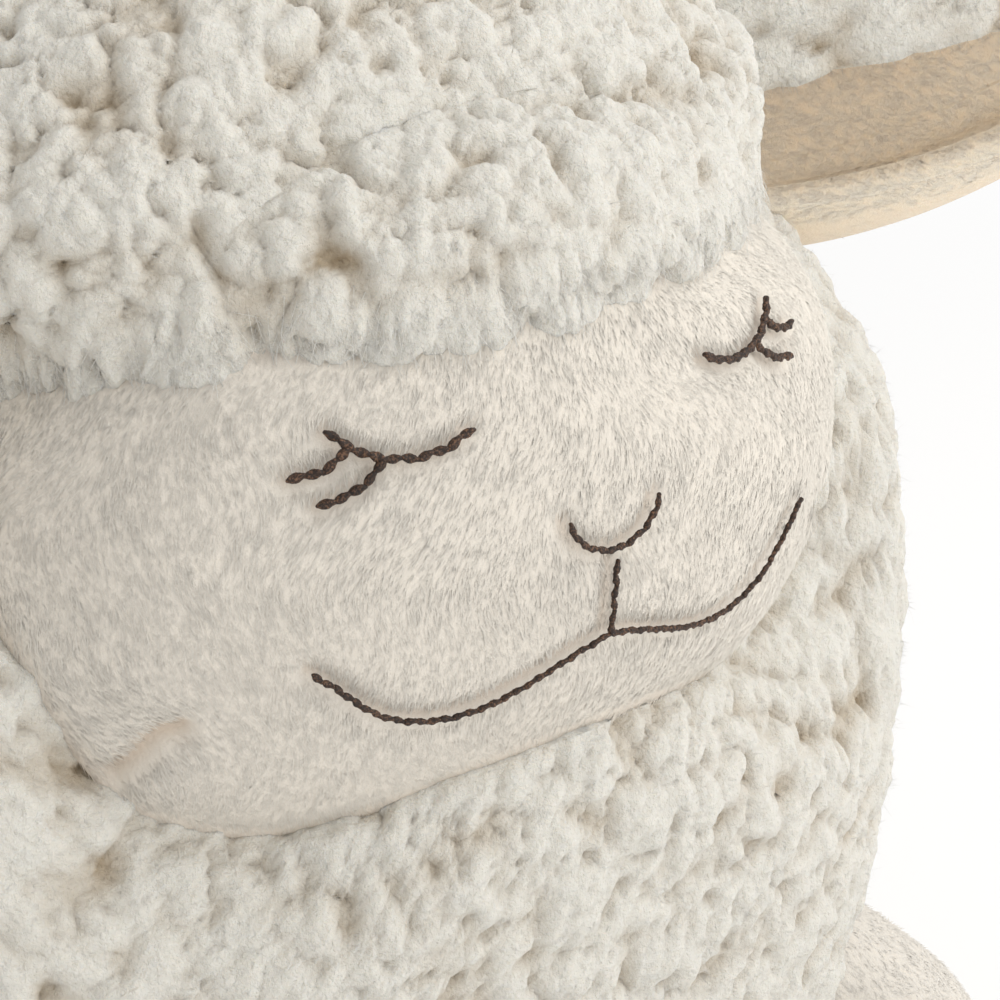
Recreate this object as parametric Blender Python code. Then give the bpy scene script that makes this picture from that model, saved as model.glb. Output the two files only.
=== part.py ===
# Plush sheep: fleece and short-pile panels sewn round a stuffing, with folded ears,
# stuffed arms, legs and tail sewn into the seams, and an embroidered sleeping face.
# The sheep sits on its base at the origin, faces -Y, and +X is its own left side.

import math

import bmesh
import bpy
from mathutils import Matrix, Vector

# Body and head are one stuffed egg, whose lowest part would lie under the base.
WIDEST_HEIGHT = 0.165
RISE_TO_CROWN = 0.162
TRIMMED_BELOW_BASE = 0.020
DROP_BELOW_WIDEST = WIDEST_HEIGHT + TRIMMED_BELOW_BASE
BODY_HALF_WIDTH = 0.121
BODY_FRONT_DEPTH = 0.086
BODY_BACK_DEPTH = 0.100
UPPER_POWER = 2.2
LOWER_POWER = 2.0
FRONT_POWER = 2.6
BACK_POWER = 2.2
FORM_CENTRE_ABOVE_WIDEST = 0.040
FORM_CENTRE_HEIGHT = WIDEST_HEIGHT + FORM_CENTRE_ABOVE_WIDEST

# The face is a bulging patch: the front of a leaning ellipsoid.
FACE_CENTRE_ABOVE_WIDEST = 0.050
FACE_CENTRE_HEIGHT = WIDEST_HEIGHT + FACE_CENTRE_ABOVE_WIDEST
FACE_INSIDE_SIDES = 0.0282
FACE_HALF_WIDTH = BODY_HALF_WIDTH - FACE_INSIDE_SIDES
FACE_HALF_DEPTH = 0.0595
FACE_BULGE = 0.0015
FACE_SET_FORWARD = BODY_FRONT_DEPTH + FACE_BULGE - FACE_HALF_DEPTH
FACE_HALF_HEIGHT = 0.0794
FACE_LEAN_DEG = 28.0
FACE_SIDE_SHARE = 0.42
FACE_FOOT_DEG = (-34.0, -14.0)
CAP_RISE = 0.006

# Fabric, seams and clearances.
FLEECE_THICKNESS = 0.008
MINKY_THICKNESS = 0.003
SEAM_PINCH = 0.0025
SEAM_REACH = 0.012
CREASE_REACH_SHARE = 1.1
SEAM_GAP = 0.0003
FILLING_GAP = 0.0007
COVER_GAP = 0.0004
LIMB_GAP = 0.0005
SWING_MARGIN_DEG = 0.8
SWING_STOPS = 1
LEG_SWING_STOPS = 2
CLOTH_ROUGHNESS = 0.95
FLEECE_COLOUR = (0.86, 0.84, 0.78)
MINKY_COLOUR = (0.86, 0.78, 0.68)
LIMB_COLOUR = (0.88, 0.80, 0.70)
LINING_COLOUR = (0.80, 0.68, 0.54)
STUFFING_COLOUR = (0.93, 0.93, 0.91)
THREAD_COLOUR = (0.13, 0.08, 0.05)
THREAD_ROUGHNESS = 0.6

# Seam lines, in degrees round the body (0 is the front) and up from the form's centre.
HAIRLINE_RISE_DEG = 40.0
HAIRLINE_DROP_DEG = 12.0
CHIN_LINE_DEG = (
    (0.0, -7.2),
    (12.0, -8.0),
    (20.0, -9.8),
    (28.0, -11.6),
    (36.0, -12.0),
    (44.0, -9.6),
    (50.0, -5.0),
    (54.0, 2.4),
    (58.0, 10.5),
    (65.0, 18.5),
    (75.0, 24.0),
    (90.0, 26.0),
)
BASE_SEAM_HEIGHT = 0.004
BASE_FLAT_SHARES = (0.88, 0.5)

# Numbers of facets, counted along each seam.
COLUMNS = 24
CROWN_ROWS = 8
FACE_ROWS = 10
FRONT_ROWS = 10
BACK_COLUMNS = 12

# Guards for odd sizes: a seam's corner moves no further than the gap over this share, and a cloth
# never takes more of a form's girth than leaves this share of it.
CORNER_LEAN_SHARE = 0.3
LEFT_INSIDE_SHARE = 0.5
LEFT_INSIDE_EAR_SHARE = 0.1

# Ears: a leaf folded along its length, open to the front.
EAR_ROOT_RISE_DEG = 30.0
EAR_ROOT_SPAN_DEG = 10.0
EAR_LENGTH = 0.098
EAR_ROOT_SUNK = 0.018
EAR_HALF_HEIGHT = 0.032
EAR_HALF_DEPTH = 0.022
EAR_FLEECE_THICKNESS = 0.005
EAR_LEAN_UP_DEG = 8.0
EAR_SWEEP_FORWARD_DEG = 20.0
EAR_OPENING_DEG = (20.0, -32.0)
EAR_SWING_DEG = 18.0
EAR_PROFILE_SHARES = (
    (0.0, 0.80),
    (0.16, 0.92),
    (0.34, 1.0),
    (0.52, 0.98),
    (0.70, 0.86),
    (0.84, 0.68),
    (0.94, 0.46),
    (1.0, 0.24),
)
EAR_FACETS = 13

# Arms, sewn into the side seams.
ARM_ROOT_HEIGHT = 0.075
ARM_ROOT_SPAN_DEG = 6.0
ARM_LENGTH = 0.088
ARM_ROOT_SUNK = 0.022
ARM_HALF_WIDTH = 0.027
ARM_HALF_DEPTH = 0.023
ARM_WAY = (0.58, -0.46, -0.67)
ARM_SWING_BACK_DEG = 30.0
ARM_SWING_FORWARD_DEG = 10.0
ARM_PROFILE_SHARES = (
    (0.0, 0.74),
    (0.2, 0.82),
    (0.4, 0.92),
    (0.6, 1.0),
    (0.76, 0.99),
    (0.88, 0.84),
    (0.96, 0.54),
    (1.0, 0.20),
)

# Legs, sewn into the base seam, ending in a flat sole.
LEG_ROOT_AZIMUTH_DEG = 47.0
LEG_LENGTH = 0.118
LEG_ROOT_SUNK = 0.030
LEG_HALF_WIDTH = 0.031
LEG_HALF_HEIGHT = 0.029
LEG_SPREAD_DEG = 12.0
LEG_FLAT_DEPTH = 0.0018
LEG_LIFT_DEG = 18.0
SOLE_DOME = 0.004
SOLE_RING_SHARES = (
    (1.0, 0.0),
    (0.86, 0.5),
    (0.43, 0.9),
)
LEG_PROFILE_SHARES = (
    (0.0, 0.80),
    (0.2, 0.90),
    (0.42, 1.0),
    (0.62, 0.97),
    (0.8, 0.95),
    (0.92, 1.0),
    (1.0, 0.92),
)
LIMB_FACETS = 18

# Tail, sewn into the centre-back seam.
TAIL_ROOT_HEIGHT = 0.062
TAIL_ROOT_SPAN_DEG = 4.0
TAIL_LENGTH = 0.052
TAIL_ROOT_SUNK = 0.016
TAIL_HALF_WIDTH = 0.019
TAIL_FLEECE_THICKNESS = 0.006
TAIL_DROOP_DEG = 22.0
TAIL_SWING_DEG = 18.0
TAIL_PROFILE_SHARES = (
    (0.0, 0.62),
    (0.25, 0.78),
    (0.5, 0.96),
    (0.7, 1.0),
    (0.86, 0.86),
    (0.96, 0.52),
    (1.0, 0.20),
)
TAIL_FACETS = 14

# Embroidery on the face: places are shares of the face's half width and half height.
THREAD_RADIUS = 0.00065
THREAD_GAP = 0.0003
THREAD_SIDES = 6
EYELID_SHARES = (
    (0.248, 0.533),
    (0.290, 0.509),
    (0.334, 0.499),
    (0.378, 0.501),
    (0.414, 0.511),
    (0.446, 0.532),
    (0.472, 0.562),
)
UPPER_LASH_SHARES = (
    (0.446, 0.532),
    (0.474, 0.504),
    (0.505, 0.491),
    (0.543, 0.487),
)
LOWER_LASH_SHARES = (
    (0.396, 0.506),
    (0.425, 0.474),
    (0.456, 0.452),
    (0.509, 0.435),
)
NOSE_SHARES = (
    (-0.097, 0.310),
    (-0.086, 0.280),
    (-0.058, 0.248),
    (0.0, 0.228),
    (0.058, 0.248),
    (0.086, 0.280),
    (0.097, 0.310),
)
LIP_CLEFT_SHARES = (
    (0.0, 0.203),
    (0.0, 0.139),
    (0.0, 0.080),
    (0.0, 0.036),
)
SMILE_SHARES = (
    (0.0, 0.036),
    (0.062, 0.018),
    (0.125, -0.008),
    (0.188, -0.034),
    (0.246, -0.050),
    (0.308, -0.055),
    (0.368, -0.044),
    (0.424, -0.016),
    (0.468, 0.027),
    (0.502, 0.068),
    (0.541, 0.106),
)

# Points of two sheets that lie this close become one when the sheets are sewn together.
WELD_DISTANCE = 0.000001
# Times that the search for the egg's surface halves its range.
HALVINGS = 44

FORM_CENTRE = Vector((0.0, 0.0, FORM_CENTRE_HEIGHT))
FACE_CENTRE = Vector((0.0, -FACE_SET_FORWARD, FACE_CENTRE_HEIGHT))
FACE_TURN = Matrix.Rotation(math.radians(FACE_LEAN_DEG), 3, "X")


def make_material(name, colour, roughness):
    material = bpy.data.materials.new(name)
    material.use_nodes = True
    shader = material.node_tree.nodes["Principled BSDF"]
    shader.inputs["Base Color"].default_value = (*colour, 1.0)
    shader.inputs["Roughness"].default_value = roughness
    shader.inputs["Metallic"].default_value = 0.0
    return material


def clear_scene():
    for old in list(bpy.data.objects):
        bpy.data.objects.remove(old, do_unlink=True)


def add_object(name, mesh_data, colour, roughness):
    # Flat triangles, so that the cuts of left and right come out the same.
    bmesh.ops.triangulate(mesh_data, faces=mesh_data.faces[:])
    mesh = bpy.data.meshes.new(name)
    mesh_data.to_mesh(mesh)
    mesh_data.free()
    mesh.shade_smooth()
    mesh.materials.append(make_material(name + "_cloth", colour, roughness))
    piece = bpy.data.objects.new(name, mesh)
    bpy.context.scene.collection.objects.link(piece)
    return piece


def add_cutter(name, mesh_data):
    bmesh.ops.triangulate(mesh_data, faces=mesh_data.faces[:])
    mesh = bpy.data.meshes.new(name)
    mesh_data.to_mesh(mesh)
    mesh_data.free()
    cutter = bpy.data.objects.new(name, mesh)
    cutter.hide_render = True
    cutter.display_type = "WIRE"
    bpy.context.scene.collection.objects.link(cutter)
    return cutter


def add_boolean(piece, cutter, operation):
    modifier = piece.modifiers.new(cutter.name, "BOOLEAN")
    modifier.operation = operation
    modifier.solver = "EXACT"
    modifier.object = cutter


# The form: how far out the egg and the face reach along a direction from the form's centre.

def heading(azimuth_deg, rise_deg):
    azimuth = math.radians(azimuth_deg)
    rise = math.radians(rise_deg)
    return Vector((math.sin(azimuth) * math.cos(rise), -math.cos(azimuth) * math.cos(rise), math.sin(rise)))


def egg_level(height):
    # Share of the full girth that the egg has at this height.
    above = height - WIDEST_HEIGHT
    tallness, power = (RISE_TO_CROWN, UPPER_POWER) if above > 0 else (DROP_BELOW_WIDEST, LOWER_POWER)
    share = min(abs(above) / tallness, 1.0)
    return (1.0 - share ** power) ** (1.0 / power)


def inside_egg(point):
    level = egg_level(point.z)
    if level <= 0.0:
        return False
    depth, power = (BODY_FRONT_DEPTH, FRONT_POWER) if point.y < 0 else (BODY_BACK_DEPTH, BACK_POWER)
    across = abs(point.x) / (BODY_HALF_WIDTH * level)
    along = abs(point.y) / (depth * level)
    return across ** power + along ** power < 1.0


def egg_radius(direction):
    near = 0.0
    far = 2.0 * BODY_HALF_WIDTH + FORM_CENTRE_HEIGHT
    for _ in range(HALVINGS):
        middle = (near + far) / 2.0
        if inside_egg(FORM_CENTRE + direction * middle):
            near = middle
        else:
            far = middle
    return near


def unit_face(vector):
    # A point or direction in the ellipsoid's own frame, scaled so that the ellipsoid is a unit ball.
    own = FACE_TURN.inverted() @ vector
    return Vector((own.x / FACE_HALF_WIDTH, own.y / FACE_HALF_DEPTH, own.z / FACE_HALF_HEIGHT))


def face_radius(direction):
    start = unit_face(FORM_CENTRE - FACE_CENTRE)
    step = unit_face(direction)
    square = step.dot(step)
    cross = start.dot(step)
    inside = start.dot(start) - 1.0
    return (-cross + math.sqrt(cross * cross - square * inside)) / square


def face_point(across_share, up_share, lift):
    # The place on the face at these shares of its half width and half height, lifted off it.
    across = across_share * FACE_HALF_WIDTH
    up = up_share * FACE_HALF_HEIGHT
    start = unit_face(Vector((across, 0.0, up)))
    step = unit_face(Vector((0.0, -1.0, 0.0)))
    square = step.dot(step)
    cross = start.dot(step)
    inside = start.dot(start) - 1.0
    forward = (-cross + math.sqrt(cross * cross - square * inside)) / square
    place = Vector((across, -forward, up))
    unit = unit_face(place)
    slope = Vector((unit.x / FACE_HALF_WIDTH, unit.y / FACE_HALF_DEPTH, unit.z / FACE_HALF_HEIGHT))
    return FACE_CENTRE + place + (FACE_TURN @ slope).normalized() * lift


def eased(share):
    share = min(max(share, 0.0), 1.0)
    return share * share * (3.0 - 2.0 * share)


def face_blend_radius(direction):
    # The face in front, easing into the egg towards the ears and below the chin.
    lowest, highest = (math.sin(math.radians(angle)) for angle in FACE_FOOT_DEG)
    share = eased(-direction.y / FACE_SIDE_SHARE) * eased((direction.z - lowest) / (highest - lowest))
    return face_radius(direction) * share + egg_radius(direction) * (1.0 - share)


def crown_radius(direction):
    return max(egg_radius(direction), face_radius(direction) + CAP_RISE)


def seam_radius(direction):
    return face_blend_radius(direction) - SEAM_PINCH


# Seam lines, each a direction for a share of its length.

def chin_rise(azimuth_deg):
    # A smooth curve through the chin line's points.
    table = CHIN_LINE_DEG
    angle = abs(azimuth_deg)
    index = 0
    while index < len(table) - 2 and angle > table[index + 1][0]:
        index += 1
    before = table[max(index - 1, 0)]
    start = table[index]
    end = table[index + 1]
    after = table[min(index + 2, len(table) - 1)]
    span = end[0] - start[0]
    share = (angle - start[0]) / span
    slope_in = (end[1] - before[1]) / (end[0] - before[0]) * span if index > 0 else 0.0
    slope_out = (after[1] - start[1]) / (after[0] - start[0]) * span
    square = share * share
    cube = square * share
    return (
        (2.0 * cube - 3.0 * square + 1.0) * start[1]
        + (cube - 2.0 * square + share) * slope_in
        + (3.0 * square - 2.0 * cube) * end[1]
        + (cube - square) * slope_out
    )


def hairline(share):
    azimuth = -90.0 + 180.0 * share
    return heading(azimuth, HAIRLINE_RISE_DEG - HAIRLINE_DROP_DEG * abs(azimuth / 90.0) ** 3)


def chin_line(share):
    azimuth = -90.0 + 180.0 * share
    return heading(azimuth, chin_rise(azimuth))


def crown_seam(share):
    reach = 90.0 - (HAIRLINE_RISE_DEG - HAIRLINE_DROP_DEG)
    angle = math.radians(reach * (2.0 * share - 1.0))
    return Vector((math.sin(angle), 0.0, math.cos(angle)))


def girth_point(height, azimuth_deg):
    # The egg's surface at a height, round from the front.
    azimuth = math.radians(azimuth_deg)
    across = math.sin(azimuth)
    along = -math.cos(azimuth)
    level = egg_level(height)
    depth, power = (BODY_FRONT_DEPTH, FRONT_POWER) if along < 0 else (BODY_BACK_DEPTH, BACK_POWER)
    total = abs(across / (BODY_HALF_WIDTH * level)) ** power + abs(along / (depth * level)) ** power
    radius = total ** (-1.0 / power)
    return Vector((across * radius, along * radius, height))


def base_heading(azimuth_deg):
    return (girth_point(BASE_SEAM_HEIGHT, azimuth_deg) - FORM_CENTRE).normalized()


def base_front(share):
    return base_heading(-90.0 + 180.0 * share)


def side_seam(side, low_deg, high_deg, share):
    return heading(90.0 * side, low_deg + (high_deg - low_deg) * share)


def base_rise_deg(azimuth_deg):
    return math.degrees(math.asin(base_heading(azimuth_deg).z))


EAR_SEAM_RISE_DEG = HAIRLINE_RISE_DEG - HAIRLINE_DROP_DEG
CHIN_END_RISE_DEG = CHIN_LINE_DEG[-1][1]


def side_lower(side, share):
    return side_seam(side, base_rise_deg(90.0), CHIN_END_RISE_DEG, share)


def side_upper(side, share):
    return side_seam(side, CHIN_END_RISE_DEG, EAR_SEAM_RISE_DEG, share)


def side_whole(side, share):
    lower_part = FRONT_ROWS / (FRONT_ROWS + FACE_ROWS)
    if share <= lower_part:
        return side_lower(side, share / lower_part)
    return side_upper(side, (share - lower_part) / (1.0 - lower_part))


def back_seam(share):
    low = base_rise_deg(180.0)
    return heading(180.0, low + (90.0 - low) * share)


# Panels: each is a patch between four seams, filled out between them.

def coons(bottom, top, left, right, across, up):
    low = bottom(across) * (1.0 - up) + top(across) * up
    wide = left(up) * (1.0 - across) + right(up) * across
    corners = (
        bottom(0.0) * ((1.0 - across) * (1.0 - up))
        + bottom(1.0) * (across * (1.0 - up))
        + top(0.0) * ((1.0 - across) * up)
        + top(1.0) * (across * up)
    )
    return (low + wide - corners).normalized()


def panel_table():
    right_ear = hairline(0.0)
    left_ear = hairline(1.0)
    return {
        "crown_panel": dict(
            edges=(hairline, crown_seam, lambda t: right_ear, lambda t: left_ear),
            size=(COLUMNS, CROWN_ROWS), radius=crown_radius, thickness=FLEECE_THICKNESS,
        ),
        "face_panel": dict(
            edges=(chin_line, hairline, lambda t: side_upper(-1, t), lambda t: side_upper(1, t)),
            size=(COLUMNS, FACE_ROWS), radius=face_blend_radius, thickness=MINKY_THICKNESS,
        ),
        "body_front_panel": dict(
            edges=(base_front, chin_line, lambda t: side_lower(-1, t), lambda t: side_lower(1, t)),
            size=(COLUMNS, FRONT_ROWS), radius=egg_radius, thickness=FLEECE_THICKNESS,
        ),
        "body_back_left_panel": dict(
            edges=(
                lambda t: base_heading(90.0 + 90.0 * t),
                lambda t: crown_seam(1.0 - t / 2.0),
                lambda t: side_whole(1, t),
                back_seam,
            ),
            size=(BACK_COLUMNS, FRONT_ROWS + FACE_ROWS), radius=egg_radius, thickness=FLEECE_THICKNESS,
        ),
        "body_back_right_panel": dict(
            edges=(
                lambda t: base_heading(180.0 + 90.0 * t),
                lambda t: crown_seam(0.5 - t / 2.0),
                back_seam,
                lambda t: side_whole(-1, t),
            ),
            size=(BACK_COLUMNS, FRONT_ROWS + FACE_ROWS), radius=egg_radius, thickness=FLEECE_THICKNESS,
        ),
    }


def panel_points(panel):
    # Rows of points on the panel's outer side, drawn in along its seams.
    bottom, top, left, right = panel["edges"]
    columns, rows = panel["size"]
    headings = [
        [coons(bottom, top, left, right, i / columns, j / rows) for i in range(columns + 1)]
        for j in range(rows + 1)
    ]
    full = [[panel["radius"](way) for way in row] for row in headings]
    places = [
        [FORM_CENTRE + way * reach for way, reach in zip(ways, reaches)]
        for ways, reaches in zip(headings, full)
    ]

    def drawn_in(i, j):
        most = 0.0
        least = 0.0
        for edge_i, edge_j in ((i, 0), (i, rows), (0, j), (columns, j)):
            amount = full[edge_j][edge_i] - seam_radius(headings[edge_j][edge_i])
            reach = SEAM_REACH + CREASE_REACH_SHARE * abs(amount)
            share = min((places[j][i] - places[edge_j][edge_i]).length / reach, 1.0)
            pull = amount * (1.0 - share) ** 2
            most = max(most, pull)
            least = min(least, pull)
        return most + least

    points = []
    for j in range(rows + 1):
        line = []
        for i in range(columns + 1):
            way = headings[j][i]
            on_seam = i in (0, columns) or j in (0, rows)
            reach = seam_radius(way) if on_seam else full[j][i] - drawn_in(i, j)
            line.append(FORM_CENTRE + way * reach)
        points.append(line)
    return points


def sheet_from_points(points):
    sheet = bmesh.new()
    rows = [[sheet.verts.new(place) for place in line] for line in points]
    for low, high in zip(rows, rows[1:]):
        for i in range(len(low) - 1):
            sheet.faces.new((low[i], low[i + 1], high[i + 1], high[i]))
    bmesh.ops.remove_doubles(sheet, verts=sheet.verts[:], dist=WELD_DISTANCE)
    sheet.normal_update()
    return sheet


def base_points():
    # Rings of the base panel, from its seam inwards to its middle.
    count = 2 * COLUMNS
    angles = [-90.0 + 360.0 * i / count for i in range(count)]
    seam = []
    for angle in angles:
        way = base_heading(angle)
        seam.append(FORM_CENTRE + way * seam_radius(way))
    rings = [seam]
    for share in BASE_FLAT_SHARES:
        rings.append([Vector((place.x * share, place.y * share, 0.0)) for place in seam])
    return rings


def base_sheet():
    sheet = bmesh.new()
    rings = [[sheet.verts.new(place) for place in ring] for ring in base_points()]
    count = len(rings[0])
    for outer, inner in zip(rings, rings[1:]):
        for i in range(count):
            j = (i + 1) % count
            sheet.faces.new((outer[i], inner[i], inner[j], outer[j]))
    middle = sheet.verts.new((0.0, 0.0, 0.0))
    last = rings[-1]
    for i in range(count):
        sheet.faces.new((last[i], middle, last[(i + 1) % count]))
    sheet.normal_update()
    return sheet


def open_seams(sheet, gap):
    # Pull the sheet's border back from the seam, by half the gap to the next panel.
    moves = {}
    for vertex in sheet.verts:
        if not vertex.is_boundary:
            continue
        inward = []
        for edge in vertex.link_edges:
            if edge.is_boundary:
                face = edge.link_faces[0]
                along = (edge.verts[1].co - edge.verts[0].co).normalized()
                side = face.normal.cross(along).normalized()
                if side.dot(face.calc_center_median() - edge.verts[0].co) < 0:
                    side = -side
                inward.append(side)
        middle = (inward[0] + inward[1]).normalized()
        lean = max(middle.dot(inward[0]), CORNER_LEAN_SHARE)
        moves[vertex] = middle * (gap / 2.0 / lean)
    for vertex, move in moves.items():
        vertex.co += move


def thicken_inwards(sheet, thickness):
    # A cloth's thickness, measured towards the form's centre, so that seams stay open alike.
    grown = bmesh.ops.extrude_face_region(sheet, geom=sheet.faces[:])
    for item in grown["geom"]:
        if isinstance(item, bmesh.types.BMVert):
            item.co += (FORM_CENTRE - item.co).normalized() * thickness
    bmesh.ops.recalc_face_normals(sheet, faces=sheet.faces[:])


def whole_form(panel_depths, seam_depth):
    # The closed body, each panel's middle at its own depth and all its seams at one depth.
    form = bmesh.new()
    for name, panel in panel_table().items():
        points = panel_points(panel)
        last_row = len(points) - 1
        for j, line in enumerate(points):
            last = len(line) - 1
            for i, place in enumerate(line):
                on_seam = i in (0, last) or j in (0, last_row)
                depth = seam_depth if on_seam else panel_depths[name]
                line[i] = place + (FORM_CENTRE - place).normalized() * depth
        sheet = sheet_from_points(points)
        mesh = bpy.data.meshes.new("sheet")
        sheet.to_mesh(mesh)
        sheet.free()
        form.from_mesh(mesh)
        bpy.data.meshes.remove(mesh)
    sheet = base_sheet()
    for vertex in sheet.verts:
        depth = seam_depth if vertex.is_boundary else panel_depths["base_panel"]
        vertex.co += (FORM_CENTRE - vertex.co).normalized() * depth
    mesh = bpy.data.meshes.new("sheet")
    sheet.to_mesh(mesh)
    sheet.free()
    form.from_mesh(mesh)
    bpy.data.meshes.remove(mesh)
    bmesh.ops.remove_doubles(form, verts=form.verts[:], dist=WELD_DISTANCE)
    bmesh.ops.recalc_face_normals(form, faces=form.faces[:])
    return form


def make_body():
    for name, panel in panel_table().items():
        sheet = sheet_from_points(panel_points(panel))
        open_seams(sheet, SEAM_GAP)
        thicken_inwards(sheet, panel["thickness"])
        colour = MINKY_COLOUR if name == "face_panel" else FLEECE_COLOUR
        add_object(name, sheet, colour, CLOTH_ROUGHNESS)
    sheet = base_sheet()
    open_seams(sheet, SEAM_GAP)
    thicken_inwards(sheet, FLEECE_THICKNESS)
    add_object("base_panel", sheet, FLEECE_COLOUR, CLOTH_ROUGHNESS)

    depths = {name: panel["thickness"] + FILLING_GAP for name, panel in panel_table().items()}
    depths["base_panel"] = FLEECE_THICKNESS + FILLING_GAP
    filling = whole_form(depths, FLEECE_THICKNESS + FILLING_GAP)
    add_object("body_stuffing", filling, STUFFING_COLOUR, CLOTH_ROUGHNESS)


def body_cutter_mesh():
    # The body grown by the clearance that its limbs keep.
    names = list(panel_table()) + ["base_panel"]
    return whole_form({name: -LIMB_GAP for name in names}, -LIMB_GAP)


# Limbs: a round form along a line, cut back by the body at rest and at both ends of the swing.

def seam_place(direction):
    return FORM_CENTRE + direction * seam_radius(direction)


def loft(start, way, side, length, half_sizes, profile, facets, shrink, root_shift, tip_shift):
    # Rings along a line. shrink takes a cloth's thickness off; the shifts lengthen either end.
    lift = side.cross(way).normalized()
    side = way.cross(lift).normalized()
    form = bmesh.new()
    rings = []
    for index, (share, girth) in enumerate(profile):
        distance = share * length
        if index == 0:
            distance -= root_shift
        if index == len(profile) - 1:
            distance += tip_shift
        centre = start + way * distance
        half_side = max(half_sizes[0] * girth - shrink, half_sizes[0] * girth * LEFT_INSIDE_SHARE)
        half_lift = max(half_sizes[1] * girth - shrink, half_sizes[1] * girth * LEFT_INSIDE_SHARE)
        ring = []
        for i in range(facets):
            turn = 2.0 * math.pi * i / facets
            offset = side * (math.cos(turn) * half_side) + lift * (math.sin(turn) * half_lift)
            ring.append(form.verts.new(centre + offset))
        rings.append(ring)
    for low, high in zip(rings, rings[1:]):
        for i in range(facets):
            j = (i + 1) % facets
            form.faces.new((low[i], low[j], high[j], high[i]))
    form.faces.new(reversed(rings[0]))
    form.faces.new(rings[-1])
    bmesh.ops.recalc_face_normals(form, faces=form.faces[:])
    return form


def set_origin(piece, place):
    piece.data.transform(Matrix.Translation(-place))
    piece.location = place


def swing_cutters(name, body_mesh, pivot, axis, ends_deg, stops):
    # Copies of the body, turned the other way about the hinge: one at rest, and some stops on the
    # way to just past each end of the swing.
    past_ends = [end + math.copysign(SWING_MARGIN_DEG, end) for end in ends_deg]
    angles = [0.0] + [end * stop / stops for end in past_ends for stop in range(1, stops + 1)]
    cutters = []
    for angle in angles:
        cutter = bpy.data.objects.new(f"{name}_clearance_{len(cutters)}", body_mesh)
        turn = Matrix.Rotation(math.radians(-angle), 4, axis)
        cutter.matrix_world = Matrix.Translation(pivot) @ turn @ Matrix.Translation(-pivot)
        cutter.hide_render = True
        cutter.display_type = "WIRE"
        bpy.context.scene.collection.objects.link(cutter)
        cutters.append(cutter)
    return cutters


def cut_back(piece, cutters):
    for cutter in cutters:
        add_boolean(piece, cutter, "DIFFERENCE")


def make_limb(name, place, colour, thickness, cutters, pivot):
    # A cover open at its seam, and the stuffing that fills it.
    outside = loft(**place, shrink=0.0, root_shift=0.0, tip_shift=0.0)
    cover = add_object(name + "_cover", outside, colour, CLOTH_ROUGHNESS)
    room = loft(**place, shrink=thickness, root_shift=thickness, tip_shift=-thickness)
    hollow = add_cutter(name + "_hollow", room)
    add_boolean(cover, hollow, "DIFFERENCE")
    cut_back(cover, cutters)
    inset = thickness + COVER_GAP
    filling_mesh = loft(**place, shrink=inset, root_shift=0.0, tip_shift=-inset)
    filling = add_object(name + "_stuffing", filling_mesh, STUFFING_COLOUR, CLOTH_ROUGHNESS)
    cut_back(filling, cutters)
    set_origin(cover, pivot)
    set_origin(filling, pivot)


def seam_tangent(azimuth_deg, rise_deg, span_deg):
    # The way that the seam runs up the body, over a span of angle to either side.
    low = seam_place(heading(azimuth_deg, rise_deg - span_deg))
    high = seam_place(heading(azimuth_deg, rise_deg + span_deg))
    return (high - low).normalized()


def rise_at_height(azimuth_deg, height):
    return math.degrees(math.asin((girth_point(height, azimuth_deg) - FORM_CENTRE).normalized().z))


def make_arms(body_mesh):
    rise = rise_at_height(90.0, ARM_ROOT_HEIGHT)
    for side, word in ((1, "left"), (-1, "right")):
        pivot = seam_place(heading(90.0 * side, rise))
        axis = seam_tangent(90.0 * side, rise, ARM_ROOT_SPAN_DEG)
        way = Vector((ARM_WAY[0] * side, ARM_WAY[1], ARM_WAY[2])).normalized()
        swings = (ARM_SWING_BACK_DEG * side, -ARM_SWING_FORWARD_DEG * side)
        cutters = swing_cutters("arm_" + word, body_mesh, pivot, axis, swings, SWING_STOPS)
        place = dict(
            start=pivot - way * ARM_ROOT_SUNK,
            way=way,
            side=axis,
            length=ARM_LENGTH + ARM_ROOT_SUNK,
            half_sizes=(ARM_HALF_WIDTH, ARM_HALF_DEPTH),
            profile=ARM_PROFILE_SHARES,
            facets=LIMB_FACETS,
        )
        make_limb("arm_" + word, place, LIMB_COLOUR, MINKY_THICKNESS, cutters, pivot)
        print("hinge", "arm_" + word, tuple(pivot), tuple(axis))


def make_tail(body_mesh):
    rise = rise_at_height(180.0, TAIL_ROOT_HEIGHT)
    pivot = seam_place(heading(180.0, rise))
    axis = seam_tangent(180.0, rise, TAIL_ROOT_SPAN_DEG)
    droop = math.radians(TAIL_DROOP_DEG)
    way = Vector((0.0, math.cos(droop), -math.sin(droop)))
    swings = (TAIL_SWING_DEG, -TAIL_SWING_DEG)
    cutters = swing_cutters("tail", body_mesh, pivot, axis, swings, SWING_STOPS)
    place = dict(
        start=pivot - way * TAIL_ROOT_SUNK,
        way=way,
        side=Vector((1.0, 0.0, 0.0)),
        length=TAIL_LENGTH + TAIL_ROOT_SUNK,
        half_sizes=(TAIL_HALF_WIDTH, TAIL_HALF_WIDTH),
        profile=TAIL_PROFILE_SHARES,
        facets=TAIL_FACETS,
    )
    make_limb("tail", place, FLEECE_COLOUR, TAIL_FLEECE_THICKNESS, cutters, pivot)
    print("hinge", "tail", tuple(pivot), tuple(axis))


# Legs: a limb whose front end is closed by a separate sole and whose underside is cut flat.

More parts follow.
